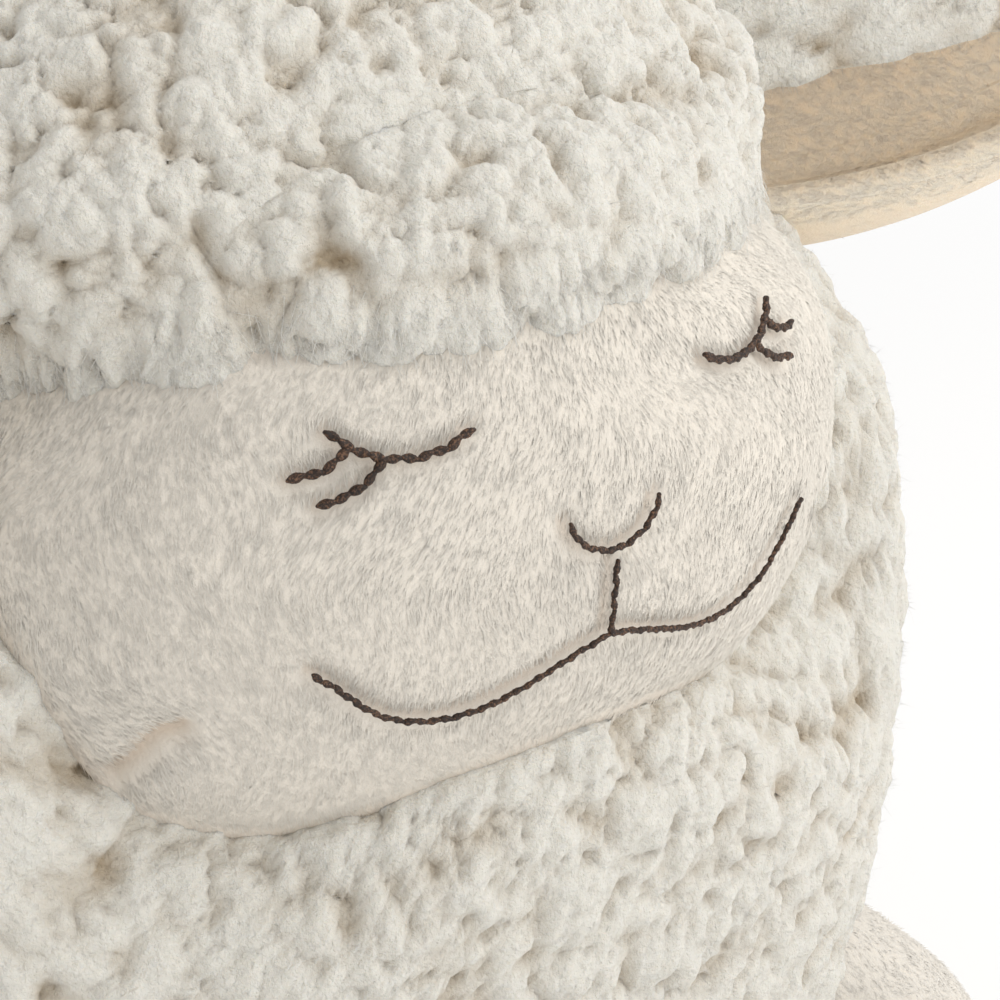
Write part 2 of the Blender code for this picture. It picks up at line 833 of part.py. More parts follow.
def floor_cutter():
    block = bmesh.new()
    bmesh.ops.create_cube(block, size=1.0)
    wide = 2.0 * (BODY_HALF_WIDTH + LEG_LENGTH)
    bmesh.ops.scale(block, vec=(wide, wide, LEG_HALF_HEIGHT), verts=block.verts[:])
    bmesh.ops.translate(block, vec=(0.0, -wide / 4.0, -LEG_HALF_HEIGHT / 2.0), verts=block.verts[:])
    return add_cutter("floor_clearance", block)


def sole_mesh(place, thickness):
    # A slightly domed oval lid across the leg's front end.
    way = place["way"]
    lift = place["side"].cross(way).normalized()
    side = way.cross(lift).normalized()
    girth = place["profile"][-1][1]
    end = place["start"] + way * (place["length"] + SEAM_GAP)
    rings = []
    sole = bmesh.new()
    back_ring = (SOLE_RING_SHARES[0][0], 0.0, 0.0)
    front_rings = [(share, thickness, dome) for share, dome in SOLE_RING_SHARES]
    for share, forward, dome in [back_ring] + front_rings:
        centre = end + way * (forward + SOLE_DOME * dome)
        ring = []
        for i in range(place["facets"]):
            turn = 2.0 * math.pi * i / place["facets"]
            half_side = place["half_sizes"][0] * girth * share
            half_lift = place["half_sizes"][1] * girth * share
            offset = side * (math.cos(turn) * half_side) + lift * (math.sin(turn) * half_lift)
            ring.append(sole.verts.new(centre + offset))
        rings.append(ring)
    count = place["facets"]
    for low, high in zip(rings, rings[1:]):
        for i in range(count):
            j = (i + 1) % count
            sole.faces.new((low[i], low[j], high[j], high[i]))
    sole.faces.new(reversed(rings[0]))
    tip = sole.verts.new(end + way * (thickness + SOLE_DOME))
    for i in range(count):
        sole.faces.new((rings[-1][i], rings[-1][(i + 1) % count], tip))
    bmesh.ops.recalc_face_normals(sole, faces=sole.faces[:])
    return sole


def make_legs(body_mesh):
    floor = floor_cutter()
    for side, word in ((1, "left"), (-1, "right")):
        root = seam_place(base_heading(LEG_ROOT_AZIMUTH_DEG * side))
        axis = Vector((-1.0, 0.0, 0.0))
        spread = math.radians(LEG_SPREAD_DEG)
        way = Vector((math.sin(spread) * side, -math.cos(spread), 0.0))
        centre_height = LEG_HALF_HEIGHT - LEG_FLAT_DEPTH
        start = Vector((root.x, root.y, centre_height)) - way * LEG_ROOT_SUNK
        cutters = swing_cutters("leg_" + word, body_mesh, root, axis, (LEG_LIFT_DEG,), LEG_SWING_STOPS)
        place = dict(
            start=start,
            way=way,
            side=Vector((1.0, 0.0, 0.0)),
            length=LEG_LENGTH + LEG_ROOT_SUNK,
            half_sizes=(LEG_HALF_WIDTH, LEG_HALF_HEIGHT),
            profile=LEG_PROFILE_SHARES,
            facets=LIMB_FACETS,
        )
        name = "leg_" + word
        outside = loft(**place, shrink=0.0, root_shift=0.0, tip_shift=0.0)
        cover = add_object(name + "_cover", outside, LIMB_COLOUR, CLOTH_ROUGHNESS)
        cloth = MINKY_THICKNESS
        hollow = add_cutter(name + "_hollow", loft(**place, shrink=cloth, root_shift=cloth, tip_shift=cloth))
        add_boolean(cover, hollow, "DIFFERENCE")
        filling_mesh = loft(**place, shrink=cloth + COVER_GAP, root_shift=0.0, tip_shift=-COVER_GAP)
        filling = add_object(name + "_stuffing", filling_mesh, STUFFING_COLOUR, CLOTH_ROUGHNESS)
        sole = add_object(name + "_sole", sole_mesh(place, cloth), LIMB_COLOUR, CLOTH_ROUGHNESS)
        for piece in (cover, filling):
            cut_back(piece, cutters)
            add_boolean(piece, floor, "DIFFERENCE")
        add_boolean(sole, floor, "DIFFERENCE")
        for piece in (cover, filling, sole):
            set_origin(piece, root)
        print("hinge", name, tuple(root), tuple(axis))


# Ears: a C-shaped leaf of fleece with a short-pile lining inside it.

def ear_layer(start, way, up, outer_depth, inner_depth):
    # A curved sheet between two depths below the ear's outside.
    back = Vector((0.0, 1.0, 0.0))
    top_deg, low_deg = EAR_OPENING_DEG
    grids = []
    for depth in (outer_depth, inner_depth):
        grid = []
        for share, girth in EAR_PROFILE_SHARES:
            centre = start + way * (share * (EAR_LENGTH + EAR_ROOT_SUNK))
            full_height = EAR_HALF_HEIGHT * girth
            full_depth = EAR_HALF_DEPTH * girth
            half_height = max(full_height - depth, full_height * LEFT_INSIDE_EAR_SHARE)
            half_depth = max(full_depth - depth, full_depth * LEFT_INSIDE_EAR_SHARE)
            line = []
            for i in range(EAR_FACETS + 1):
                # From the upper rim at the front, over the back, to the lower rim at the front.
                angle = 180.0 - top_deg - (360.0 - top_deg + low_deg) * i / EAR_FACETS
                turn = math.radians(angle)
                line.append(centre + up * (math.sin(turn) * half_height) + back * (math.cos(turn) * half_depth))
            grid.append(line)
        grids.append(grid)
    return shell_between(*grids)


def shell_between(outer, inner):
    # A closed solid between two sheets of points that have as many rows and columns.
    shell = bmesh.new()
    layers = [[[shell.verts.new(place) for place in line] for line in grid] for grid in (outer, inner)]
    rows = len(outer)
    columns = len(outer[0])
    for layer in layers:
        for j in range(rows - 1):
            for i in range(columns - 1):
                shell.faces.new((layer[j][i], layer[j][i + 1], layer[j + 1][i + 1], layer[j + 1][i]))
    rim = [(0, i) for i in range(columns)]
    rim += [(j, columns - 1) for j in range(1, rows)]
    rim += [(rows - 1, i) for i in range(columns - 2, -1, -1)]
    rim += [(j, 0) for j in range(rows - 2, 0, -1)]
    for (j, i), (next_j, next_i) in zip(rim, rim[1:] + rim[:1]):
        top, low = layers
        shell.faces.new((top[j][i], top[next_j][next_i], low[next_j][next_i], low[j][i]))
    bmesh.ops.recalc_face_normals(shell, faces=shell.faces[:])
    return shell


def make_ears(body_mesh):
    for side, word in ((1, "left"), (-1, "right")):
        pivot = seam_place(heading(90.0 * side, EAR_ROOT_RISE_DEG))
        axis = seam_tangent(90.0 * side, EAR_ROOT_RISE_DEG, EAR_ROOT_SPAN_DEG)
        lean = math.radians(EAR_LEAN_UP_DEG)
        sweep = math.radians(EAR_SWEEP_FORWARD_DEG)
        way = Vector((side * math.cos(lean) * math.cos(sweep), -math.sin(sweep), math.sin(lean))).normalized()
        up = Vector((-side * math.sin(lean), 0.0, math.cos(lean)))
        start = pivot - way * EAR_ROOT_SUNK
        swings = (EAR_SWING_DEG, -EAR_SWING_DEG)
        cutters = swing_cutters("ear_" + word, body_mesh, pivot, axis, swings, SWING_STOPS)
        outside = ear_layer(start, way, up, 0.0, EAR_FLEECE_THICKNESS)
        inner = EAR_FLEECE_THICKNESS + COVER_GAP
        inside = ear_layer(start, way, up, inner, inner + MINKY_THICKNESS)
        outer = add_object(f"ear_{word}_outer", outside, FLEECE_COLOUR, CLOTH_ROUGHNESS)
        lining = add_object(f"ear_{word}_lining", inside, LINING_COLOUR, CLOTH_ROUGHNESS)
        for piece in (outer, lining):
            cut_back(piece, cutters)
            set_origin(piece, pivot)
        print("hinge", "ear_" + word, tuple(pivot), tuple(axis))


# Embroidery: stitched lines lying on the face.

def tube(points, radius):
    form = bmesh.new()
    rings = []
    for index, place in enumerate(points):
        before = points[max(index - 1, 0)]
        after = points[min(index + 1, len(points) - 1)]
        way = (after - before).normalized()
        out = Vector((0.0, -1.0, 0.0))
        side = way.cross(out).normalized()
        lift = side.cross(way).normalized()
        ring = []
        for i in range(THREAD_SIDES):
            turn = 2.0 * math.pi * i / THREAD_SIDES
            offset = side * (math.cos(turn) * radius) + lift * (math.sin(turn) * radius)
            ring.append(form.verts.new(place + offset))
        rings.append(ring)
    for low, high in zip(rings, rings[1:]):
        for i in range(THREAD_SIDES):
            j = (i + 1) % THREAD_SIDES
            form.faces.new((low[i], low[j], high[j], high[i]))
    form.faces.new(reversed(rings[0]))
    form.faces.new(rings[-1])
    bmesh.ops.recalc_face_normals(form, faces=form.faces[:])
    return form


def stitched(name, lines, mirror):
    # Lines that touch are one thread: the first is the piece and the others join it.
    lift = THREAD_RADIUS + THREAD_GAP
    meshes = []
    for line in lines:
        points = [face_point(across * mirror, up, lift) for across, up in line]
        meshes.append(tube(points, THREAD_RADIUS))
    piece = add_object(name, meshes[0], THREAD_COLOUR, THREAD_ROUGHNESS)
    for number, mesh in enumerate(meshes[1:]):
        joined = add_cutter(f"{name}_branch_{number}", mesh)
        add_boolean(piece, joined, "UNION")


def make_embroidery():
    eye = (EYELID_SHARES, UPPER_LASH_SHARES, LOWER_LASH_SHARES)
    stitched("eye_left_stitching", eye, 1)
    stitched("eye_right_stitching", eye, -1)
    stitched("nose_stitching", (NOSE_SHARES,), 1)
    other_half = [(-across, up) for across, up in SMILE_SHARES]
    smile = list(reversed(other_half)) + list(SMILE_SHARES[1:])
    stitched("mouth_stitching", (smile, LIP_CLEFT_SHARES), 1)


clear_scene()
make_body()
cutter_object = add_cutter("body_clearance", body_cutter_mesh())
make_ears(cutter_object.data)
make_arms(cutter_object.data)
make_legs(cutter_object.data)
make_tail(cutter_object.data)
make_embroidery()
bpy.data.objects.remove(cutter_object, do_unlink=True)
bpy.context.view_layer.update()
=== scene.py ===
import math

import bmesh
import bpy
import numpy as np
from mathutils import Matrix, Vector


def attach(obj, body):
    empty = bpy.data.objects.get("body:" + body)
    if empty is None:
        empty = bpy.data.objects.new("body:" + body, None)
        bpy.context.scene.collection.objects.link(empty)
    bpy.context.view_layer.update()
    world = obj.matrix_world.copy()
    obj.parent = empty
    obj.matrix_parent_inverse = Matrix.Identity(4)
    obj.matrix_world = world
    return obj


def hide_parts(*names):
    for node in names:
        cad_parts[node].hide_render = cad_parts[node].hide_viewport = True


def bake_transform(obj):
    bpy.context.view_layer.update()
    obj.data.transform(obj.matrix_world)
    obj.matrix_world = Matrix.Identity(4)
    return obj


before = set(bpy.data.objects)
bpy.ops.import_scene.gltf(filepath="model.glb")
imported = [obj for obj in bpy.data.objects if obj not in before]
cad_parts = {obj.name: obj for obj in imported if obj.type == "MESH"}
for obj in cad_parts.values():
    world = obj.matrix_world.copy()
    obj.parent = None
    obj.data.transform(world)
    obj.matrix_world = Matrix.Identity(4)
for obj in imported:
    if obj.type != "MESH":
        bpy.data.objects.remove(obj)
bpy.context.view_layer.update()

# The body's form, in the sizes that the solids have.
form = {
    "widestHeight": 0.165, "riseToCrown": 0.162, "dropBelowWidest": 0.185,
    "halfWidth": 0.121, "frontDepth": 0.086, "backDepth": 0.100,
    "upperPower": 2.2, "lowerPower": 2.0, "frontPower": 2.6, "backPower": 2.2,
    "centre": np.array((0.0, 0.0, 0.205)),
    "searchReach": 0.45, "searchSteps": 34,
    "faceCentre": np.array((0.0, -0.028, 0.215)),
    "faceHalf": np.array((0.0928, 0.0595, 0.0794)),
    "faceLeanDeg": 28.0, "faceSideShare": 0.42, "faceFootDeg": (-34.0, -14.0),
    "capRise": 0.006,
    "seamPinch": 0.0025, "seamReach": 0.012, "creaseReachShare": 1.1,
    "hairlineRiseDeg": 40.0, "hairlineDropDeg": 12.0,
    "baseSeamHeight": 0.004,
    "chinLineDeg": (
        (0.0, -7.2), (12.0, -8.0), (20.0, -9.8), (28.0, -11.6), (36.0, -12.0), (44.0, -9.6),
        (50.0, -5.0), (54.0, 2.4), (58.0, 10.5), (65.0, 18.5), (75.0, 24.0), (90.0, 26.0),
    ),
    "closeAt": np.array((0.0, -0.030, 0.200)), "closeReach": 0.02,
}
centre, faceCentre, faceHalf = form["centre"], form["faceCentre"], form["faceHalf"]
lean = math.radians(form["faceLeanDeg"])
faceTurn = np.array((
    (1.0, 0.0, 0.0),
    (0.0, math.cos(lean), -math.sin(lean)),
    (0.0, math.sin(lean), math.cos(lean)),
))


def unit(vectors):
    return vectors / np.maximum(np.linalg.norm(vectors, axis=-1, keepdims=True), 1e-12)


def sizeOf(vectors):
    return np.linalg.norm(vectors, axis=-1)


def dots(first, second):
    return (first * second).sum(-1)


def eased(share):
    share = np.clip(share, 0.0, 1.0)
    return share * share * (3.0 - 2.0 * share)


def near(gap, reach):
    return 1.0 - eased(gap / reach)


def heading(azimuthDeg, riseDeg):
    azimuth = np.radians(azimuthDeg)
    rise = np.radians(riseDeg)
    parts = (np.sin(azimuth) * np.cos(rise), -np.cos(azimuth) * np.cos(rise), np.sin(rise))
    return np.stack(np.broadcast_arrays(*parts), axis=-1)


def eggLevel(height):
    above = height - form["widestHeight"]
    tallness = np.where(above > 0, form["riseToCrown"], form["dropBelowWidest"])
    power = np.where(above > 0, form["upperPower"], form["lowerPower"])
    share = np.minimum(np.abs(above) / tallness, 1.0)
    return (1.0 - share ** power) ** (1.0 / power)


def eggSum(across, along, level):
    # A sum that is 1 where a level of the egg has its outline, and the outline's power.
    depth = np.where(along < 0, form["frontDepth"], form["backDepth"])
    power = np.where(along < 0, form["frontPower"], form["backPower"])
    sideways = np.abs(across / (form["halfWidth"] * level)) ** power
    return sideways + np.abs(along / (depth * level)) ** power, power


def insideEgg(points):
    level = eggLevel(points[..., 2])
    total = eggSum(points[..., 0], points[..., 1], np.maximum(level, 1e-9))[0]
    return (total < 1.0) & (level > 1e-6)


def eggRadius(ways):
    low = np.zeros(ways.shape[:-1])
    high = np.full(ways.shape[:-1], form["searchReach"])
    for _ in range(form["searchSteps"]):
        middle = (low + high) / 2.0
        inside = insideEgg(centre + ways * middle[..., None])
        low = np.where(inside, middle, low)
        high = np.where(inside, high, middle)
    return low


def unitFace(vectors):
    return (vectors @ faceTurn) / faceHalf


def reachFace(start, way):
    step = unitFace(way)
    square = dots(step, step)
    cross = dots(step, start)
    inside = dots(start, start) - 1.0
    return (-cross + np.sqrt(np.maximum(cross * cross - square * inside, 0.0))) / square


def faceRadius(ways):
    return reachFace(unitFace(centre - faceCentre), ways)


def facePlaces(shares):
    # Places on the face at shares of its half width and half height.
    places = np.stack((shares[:, 0], 0.0 * shares[:, 0], shares[:, 1]), -1) * faceHalf
    places[:, 1] = -reachFace(unitFace(places), np.array((0.0, -1.0, 0.0)))
    return faceCentre + places


def blendRadius(ways):
    lowest, highest = (math.sin(math.radians(angle)) for angle in form["faceFootDeg"])
    side = eased(-ways[..., 1] / form["faceSideShare"])
    share = side * eased((ways[..., 2] - lowest) / (highest - lowest))
    return faceRadius(ways) * share + eggRadius(ways) * (1.0 - share)


def crownRadius(ways):
    return np.maximum(eggRadius(ways), faceRadius(ways) + form["capRise"])


def seamRadius(ways):
    return blendRadius(ways) - form["seamPinch"]


def seamPlace(way):
    return centre + way * seamRadius(way)[..., None]


def smoothRead(table, share):
    # A smooth curve through a table of pairs.
    table = np.array(table)
    last = len(table) - 1
    index = np.clip(np.searchsorted(table[:, 0], share, side="left") - 1, 0, last - 1)
    before, start, end, after = (table[np.clip(index + k, 0, last)] for k in (-1, 0, 1, 2))
    span = end[..., 0] - start[..., 0]
    part = (share - start[..., 0]) / span
    slopeIn = (end[..., 1] - before[..., 1]) / (end[..., 0] - before[..., 0]) * span
    slopeOut = (after[..., 1] - start[..., 1]) / (after[..., 0] - start[..., 0]) * span
    square = part * part
    cube = square * part
    return (
        (2.0 * cube - 3.0 * square + 1.0) * start[..., 1] + (cube - 2.0 * square + part) * slopeIn
        + (3.0 * square - 2.0 * cube) * end[..., 1] + (cube - square) * slopeOut
    )


def hairline(share):
    azimuth = -90.0 + 180.0 * share
    return heading(azimuth, form["hairlineRiseDeg"] - form["hairlineDropDeg"] * np.abs(azimuth / 90.0) ** 3)


def chinLine(share):
    azimuth = -90.0 + 180.0 * share
    return heading(azimuth, smoothRead(form["chinLineDeg"], np.abs(azimuth)))


def crownSeam(share):
    angle = np.radians((90.0 - earSeamRise) * (2.0 * share - 1.0))
    return np.stack((np.sin(angle), np.zeros_like(angle), np.cos(angle)), axis=-1)


def girthPoint(height, azimuthDeg):
    azimuth = np.radians(azimuthDeg)
    across = np.sin(azimuth)
    along = -np.cos(azimuth)
    total, power = eggSum(across, along, eggLevel(np.asarray(height)))
    radius = total ** (-1.0 / power)
    return np.stack((across * radius, along * radius, np.broadcast_to(height, across.shape)), axis=-1)


def baseHeading(azimuthDeg):
    return unit(girthPoint(form["baseSeamHeight"], np.asarray(azimuthDeg, float)) - centre)


earSeamRise = form["hairlineRiseDeg"] - form["hairlineDropDeg"]
chinEndRise = form["chinLineDeg"][-1][1]
lowSideRise = math.degrees(math.asin(baseHeading(90.0)[2]))
lowBackRise = math.degrees(math.asin(baseHeading(180.0)[2]))


def sideLower(side, share):
    return heading(90.0 * side, lowSideRise + (chinEndRise - lowSideRise) * share)


def sideUpper(side, share):
    return heading(90.0 * side, chinEndRise + (earSeamRise - chinEndRise) * share)


def sideWhole(side, share):
    lower = (share <= 0.5)[..., None]
    return np.where(lower, sideLower(side, share * 2.0), sideUpper(side, share * 2.0 - 1.0))


def backSeam(share):
    return heading(180.0, lowBackRise + (90.0 - lowBackRise) * share)


def still(way):
    return lambda share: np.broadcast_to(way, share.shape + (3,))


# Each panel's edges, bottom, top, left and right, and how far out of the centre it lies.
panels = {
    "crown": (hairline, crownSeam, still(hairline(0.0)), still(hairline(1.0)), crownRadius),
    "face": (chinLine, hairline, lambda t: sideUpper(-1, t), lambda t: sideUpper(1, t), blendRadius),
    "bodyFront": (
        lambda t: baseHeading(-90.0 + 180.0 * t), chinLine,
        lambda t: sideLower(-1, t), lambda t: sideLower(1, t), eggRadius,
    ),
    "backLeft": (
        lambda t: baseHeading(90.0 + 90.0 * t), lambda t: crownSeam(1.0 - t / 2.0),
        lambda t: sideWhole(1, t), backSeam, eggRadius,
    ),
    "backRight": (
        lambda t: baseHeading(180.0 + 90.0 * t), lambda t: crownSeam(0.5 - t / 2.0),
        backSeam, lambda t: sideWhole(-1, t), eggRadius,
    ),
}


def coons(edges, across, up):
    bottom, top, left, right = edges
    low = bottom(across) * (1.0 - up)[..., None] + top(across) * up[..., None]
    wide = left(up) * (1.0 - across)[..., None] + right(up) * across[..., None]
    ends = (np.zeros(1), np.ones(1))
    corners = (
        bottom(ends[0]) * ((1.0 - across) * (1.0 - up))[..., None]
        + bottom(ends[1]) * (across * (1.0 - up))[..., None]
        + top(ends[0]) * ((1.0 - across) * up)[..., None]
        + top(ends[1]) * (across * up)[..., None]
    )
    return unit(low + wide - corners)


def panelPlaces(name, across, up):
    # Points of a panel's outer side at these shares, drawn in along its seams.
    *edges, radius = panels[name]
    ways = coons(edges, across, up)
    full = radius(ways)
    places = centre + ways * full[..., None]
    most = least = zeros = np.zeros(across.shape)
    ones = np.ones(across.shape)
    for edgeAcross, edgeUp in ((across, zeros), (across, ones), (zeros, up), (ones, up)):
        edgeWays = coons(edges, edgeAcross, edgeUp)
        edgeFull = radius(edgeWays)
        amount = edgeFull - seamRadius(edgeWays)
        reach = form["seamReach"] + form["creaseReachShare"] * np.abs(amount)
        gap = sizeOf(places - (centre + edgeWays * edgeFull[..., None]))
        pull = amount * (1.0 - np.minimum(gap / reach, 1.0)) ** 2
        most = np.maximum(most, pull)
        least = np.minimum(least, pull)
    return centre + ways * (full - most - least)[..., None]


# Mesh helpers.

def readAll(items, name, width, kind=float):
    values = np.empty(len(items) * width, kind)
    items.foreach_get(name, values)
    return values.reshape(-1, width) if width > 1 else values


def readPlaces(mesh):
    return readAll(mesh.vertices, "co", 3)


def readNormals(mesh):
    return readAll(mesh.vertices, "normal", 3)


def movePlaces(mesh, places):
    mesh.vertices.foreach_set("co", np.ascontiguousarray(places).ravel())
    mesh.update()


def paint(mesh, name, values):
    attribute = mesh.attributes.get(name) or mesh.attributes.new(name, "FLOAT", "POINT")
    attribute.data.foreach_set("value", np.asarray(values, np.float32))


def readPaint(mesh, name):
    return readAll(mesh.attributes[name].data, "value", 1, np.float32)


def triangles(mesh):
    mesh.calc_loop_triangles()
    return readAll(mesh.loop_triangles, "vertices", 3, np.int32)


def newObject(name, data):
    made = bpy.data.objects.new(name, data)
    bpy.context.scene.collection.objects.link(made)
    return made


def orderSheet(sheet):
    # Welding leaves an order that changes from run to run, so points and faces are sorted by place.
    middleOf = bmesh.types.BMFace.calc_center_median
    for items, placeOf in ((sheet.verts, lambda vertex: vertex.co), (sheet.faces, middleOf)):
        items.index_update()
        ranks = np.argsort(np.lexsort(np.array([placeOf(item) for item in items]).T)).tolist()
        items.sort(key=lambda item: float(ranks[item.index]))
        items.index_update()


def newPiece(name, sheet):
    bmesh.ops.recalc_face_normals(sheet, faces=sheet.faces[:])
    orderSheet(sheet)
    mesh = bpy.data.meshes.new(name)
    sheet.to_mesh(mesh)
    sheet.free()
    return newObject(name, mesh)


def shapeArrays(sheet):
    # A sheet's points and its faces' corners, as arrays to copy it by.
    orderSheet(sheet)
    points = np.array([vertex.co for vertex in sheet.verts])
    faces = [[vertex.index for vertex in face.verts] for face in sheet.faces]
    sheet.free()
    return points, faces


def gridSheet(columns, rows, placed):
    # A grid whose points go where placed() puts their shares across and up.
    sheet = bmesh.new()
    bmesh.ops.create_grid(sheet, x_segments=columns, y_segments=rows, size=0.5)
    shares = np.array([(vertex.co.x + 0.5, vertex.co.y + 0.5) for vertex in sheet.verts])
    for vertex, place in zip(sheet.verts, placed(shares[:, 0], shares[:, 1])):
        vertex.co = place
    return sheet


def joinSheets(sheets, weld):
    whole = bmesh.new()
    for sheet in sheets:
        mesh = bpy.data.meshes.new("sheet")
        sheet.to_mesh(mesh)
        sheet.free()
        whole.from_mesh(mesh)
        bpy.data.meshes.remove(mesh)
    bmesh.ops.remove_doubles(whole, verts=whole.verts[:], dist=weld)
    return whole


def closeHole(sheet, border, place):
    # A fan of faces from an open border to one point.
    grown = bmesh.ops.extrude_edge_only(sheet, edges=border)
    corners = [item for item in grown["geom"] if isinstance(item, bmesh.types.BMVert)]
    bmesh.ops.pointmerge(sheet, verts=corners, merge_co=place)


def openEdges(sheet):
    return [edge for edge in sheet.edges if edge.is_boundary]


def offClosing(places):
    # Whether places are away from the point inside the body where its cloths are closed.
    return sizeOf(places - form["closeAt"]) > form["closeReach"]


def shownNormals(mesh):
    # The way out at each point, leaving out the faces that close the piece inside the body.
    corners = triangles(mesh)
    points = readPlaces(mesh)
    corners = corners[offClosing(points[corners]).all(1)]
    a, b, c = (points[corners[:, k]] for k in range(3))
    normals = readNormals(mesh) * 1e-9
    for k in range(3):
        np.add.at(normals, corners[:, k], np.cross(b - a, c - a))
    return unit(normals)


# Farther than any place in the scene, to start a search for the nearest.
farOff = 9.0
waves = {"count": 4, "slowest": 1.6, "step": 0.7, "level": 2.4}
ballRadius = (0.66, 0.34)


def hashed(cubes, salt):
    value = np.sin(cubes @ np.array((12.9898, 78.233, 37.719)) + salt * 19.19) * 43758.5453
    return value - np.floor(value)


def cells(places, pitch, salt):
    # A random scatter of balls, one to a cube: how high they stand here, and the nearest's share.
    scaled = places / pitch
    home = np.floor(scaled)
    highest = np.zeros(len(places))
    nearest = np.full(len(places), farOff)
    share = np.zeros(len(places))
    for step in np.ndindex(3, 3, 3):
        cubes = home + np.array(step) - 1.0
        middles = np.stack([hashed(cubes, salt + k) for k in range(3)], -1)
        gap = sizeOf(cubes + middles - scaled)
        chance = hashed(cubes, salt + 3)
        radius = ballRadius[0] + ballRadius[1] * chance
        highest = np.maximum(highest, radius * np.sqrt(np.clip(1.0 - (gap / radius) ** 2, 0.0, 1.0)))
        share = np.where(gap < nearest, chance, share)
        nearest = np.minimum(nearest, gap)
    return highest, share


def drift(places, pitch, salt):
    # A smooth random wander, about -1 to 1 in each of three values.
    turns = np.random.default_rng(salt)
    total = np.zeros(places.shape)
    for k in range(waves["count"]):
        ways = turns.normal(size=(3, 3))
        speed = waves["slowest"] + waves["step"] * k
        total += np.sin(places @ ways.T * speed / pitch + turns.uniform(0.0, 6.28, 3))
    return total / waves["level"]


def lineGap(places, lines):
    # Distance of each place to the nearest point of some lines, read 24 points at a time.
    points = np.concatenate(lines)
    least = np.full(len(places), farOff)
    for start in range(0, len(points), 24):
        least = np.minimum(least, sizeOf(places[:, None, :] - points[None, start:start + 24]).min(1))
    return least


def smoothLine(points, spacing):
    # A smooth curve through these points, read at an even spacing.
    shares = np.arange(len(points), dtype=float)
    fine = np.linspace(0.0, shares[-1], 24 * len(points))
    curve = np.stack([smoothRead(np.stack((shares, points[:, k]), -1), fine) for k in range(3)], -1)
    along = np.concatenate(([0.0], np.cumsum(sizeOf(np.diff(curve, axis=0)))))
    reads = np.linspace(0.0, along[-1], max(int(round(along[-1] / spacing)), 1) + 1)
    return np.stack([np.interp(reads, along, curve[:, k]) for k in range(3)], -1)


# Pile: thousands of fine tapered hairs on a cloth.
hair = {
    "flatShare": 0.5,
    "roundShare": 0.25,
    "lowest": -0.0004,
    "sunkRoot": 0.0003,
    "tuftWidthSpread": (0.7, 1.2),
}


def hairShape(bends):
    # One hair's points and faces: a three-sided spike cut across as often as it bends.
    sheet = bmesh.new()
    bmesh.ops.create_cone(sheet, cap_ends=True, segments=3, radius1=1.0, radius2=0.0, depth=1.0)
    bmesh.ops.remove_doubles(sheet, verts=sheet.verts[:], dist=1e-5)
    bmesh.ops.translate(sheet, verts=sheet.verts[:], vec=(0.0, 0.0, 0.5))
    for cut in range(bends):
        parts = sheet.verts[:] + sheet.edges[:] + sheet.faces[:]
        level = (cut + 1.0) / (bends + 1.0)
        bmesh.ops.bisect_plane(sheet, geom=parts, plane_co=(0.0, 0.0, level), plane_no=(0.0, 0.0, 1.0))
    return shapeArrays(sheet)


def scatter(mesh, count, dice, weights, normals=None):
    # Random places on a mesh, with the way out and the painted hollow shade there.
    corners = triangles(mesh)
    points = readPlaces(mesh)
    normals = readNormals(mesh) if normals is None else normals
    a, b, c = (points[corners[:, k]] for k in range(3))
    areas = sizeOf(np.cross(b - a, c - a)) * weights[corners].mean(1)
    picked = dice.choice(len(corners), count, p=areas / areas.sum())
    shares = dice.dirichlet((1.0, 1.0, 1.0), count)
    some = corners[picked]
    places = (points[some] * shares[..., None]).sum(1)
    outs = unit((normals[some] * shares[..., None]).sum(1))
    return places, outs, dots(readPaint(mesh, "depth")[some], shares)


def hairs(roots, outs, ways, bows, lengths, widths, depths, dice, bends):
    # Arrays for a mesh of hairs: points, ways out for the shading, faces and painted values.
    points, faces = hairShape(bends)
    count = len(roots)
    sides = unit(np.cross(outs + np.array((0.0, 0.001, 0.002)), ways))
    lifts = np.cross(ways, sides) * hair["flatShare"]
    roots, outs, ways, bows, sides, lifts = (
        item[:, None, :] for item in (roots, outs, ways, bows, sides, lifts)
    )
    across, over, up = (points[:, k][None, :, None] for k in range(3))
    length, width = lengths[:, None, None], widths[:, None, None]
    places = (
        roots + ways * length * up + bows * length * up * up
        + sides * width * across + lifts * width * over
    )
    places[:, :, 2] = np.maximum(places[:, :, 2], hair["lowest"])
    normals = unit(outs + (sides * across + lifts * over) * hair["roundShare"])
    sizes = np.tile([len(face) for face in faces], count)
    corners = (np.concatenate(faces)[None, :] + np.arange(count)[:, None] * len(points)).ravel()
    return places.reshape(-1, 3), normals.reshape(-1, 3), sizes, corners, {
        "tip": np.tile(points[:, 2], count),
        "strand": np.repeat(dice.random(count), len(points)),
        "depth": np.repeat(depths, len(points)),
    }


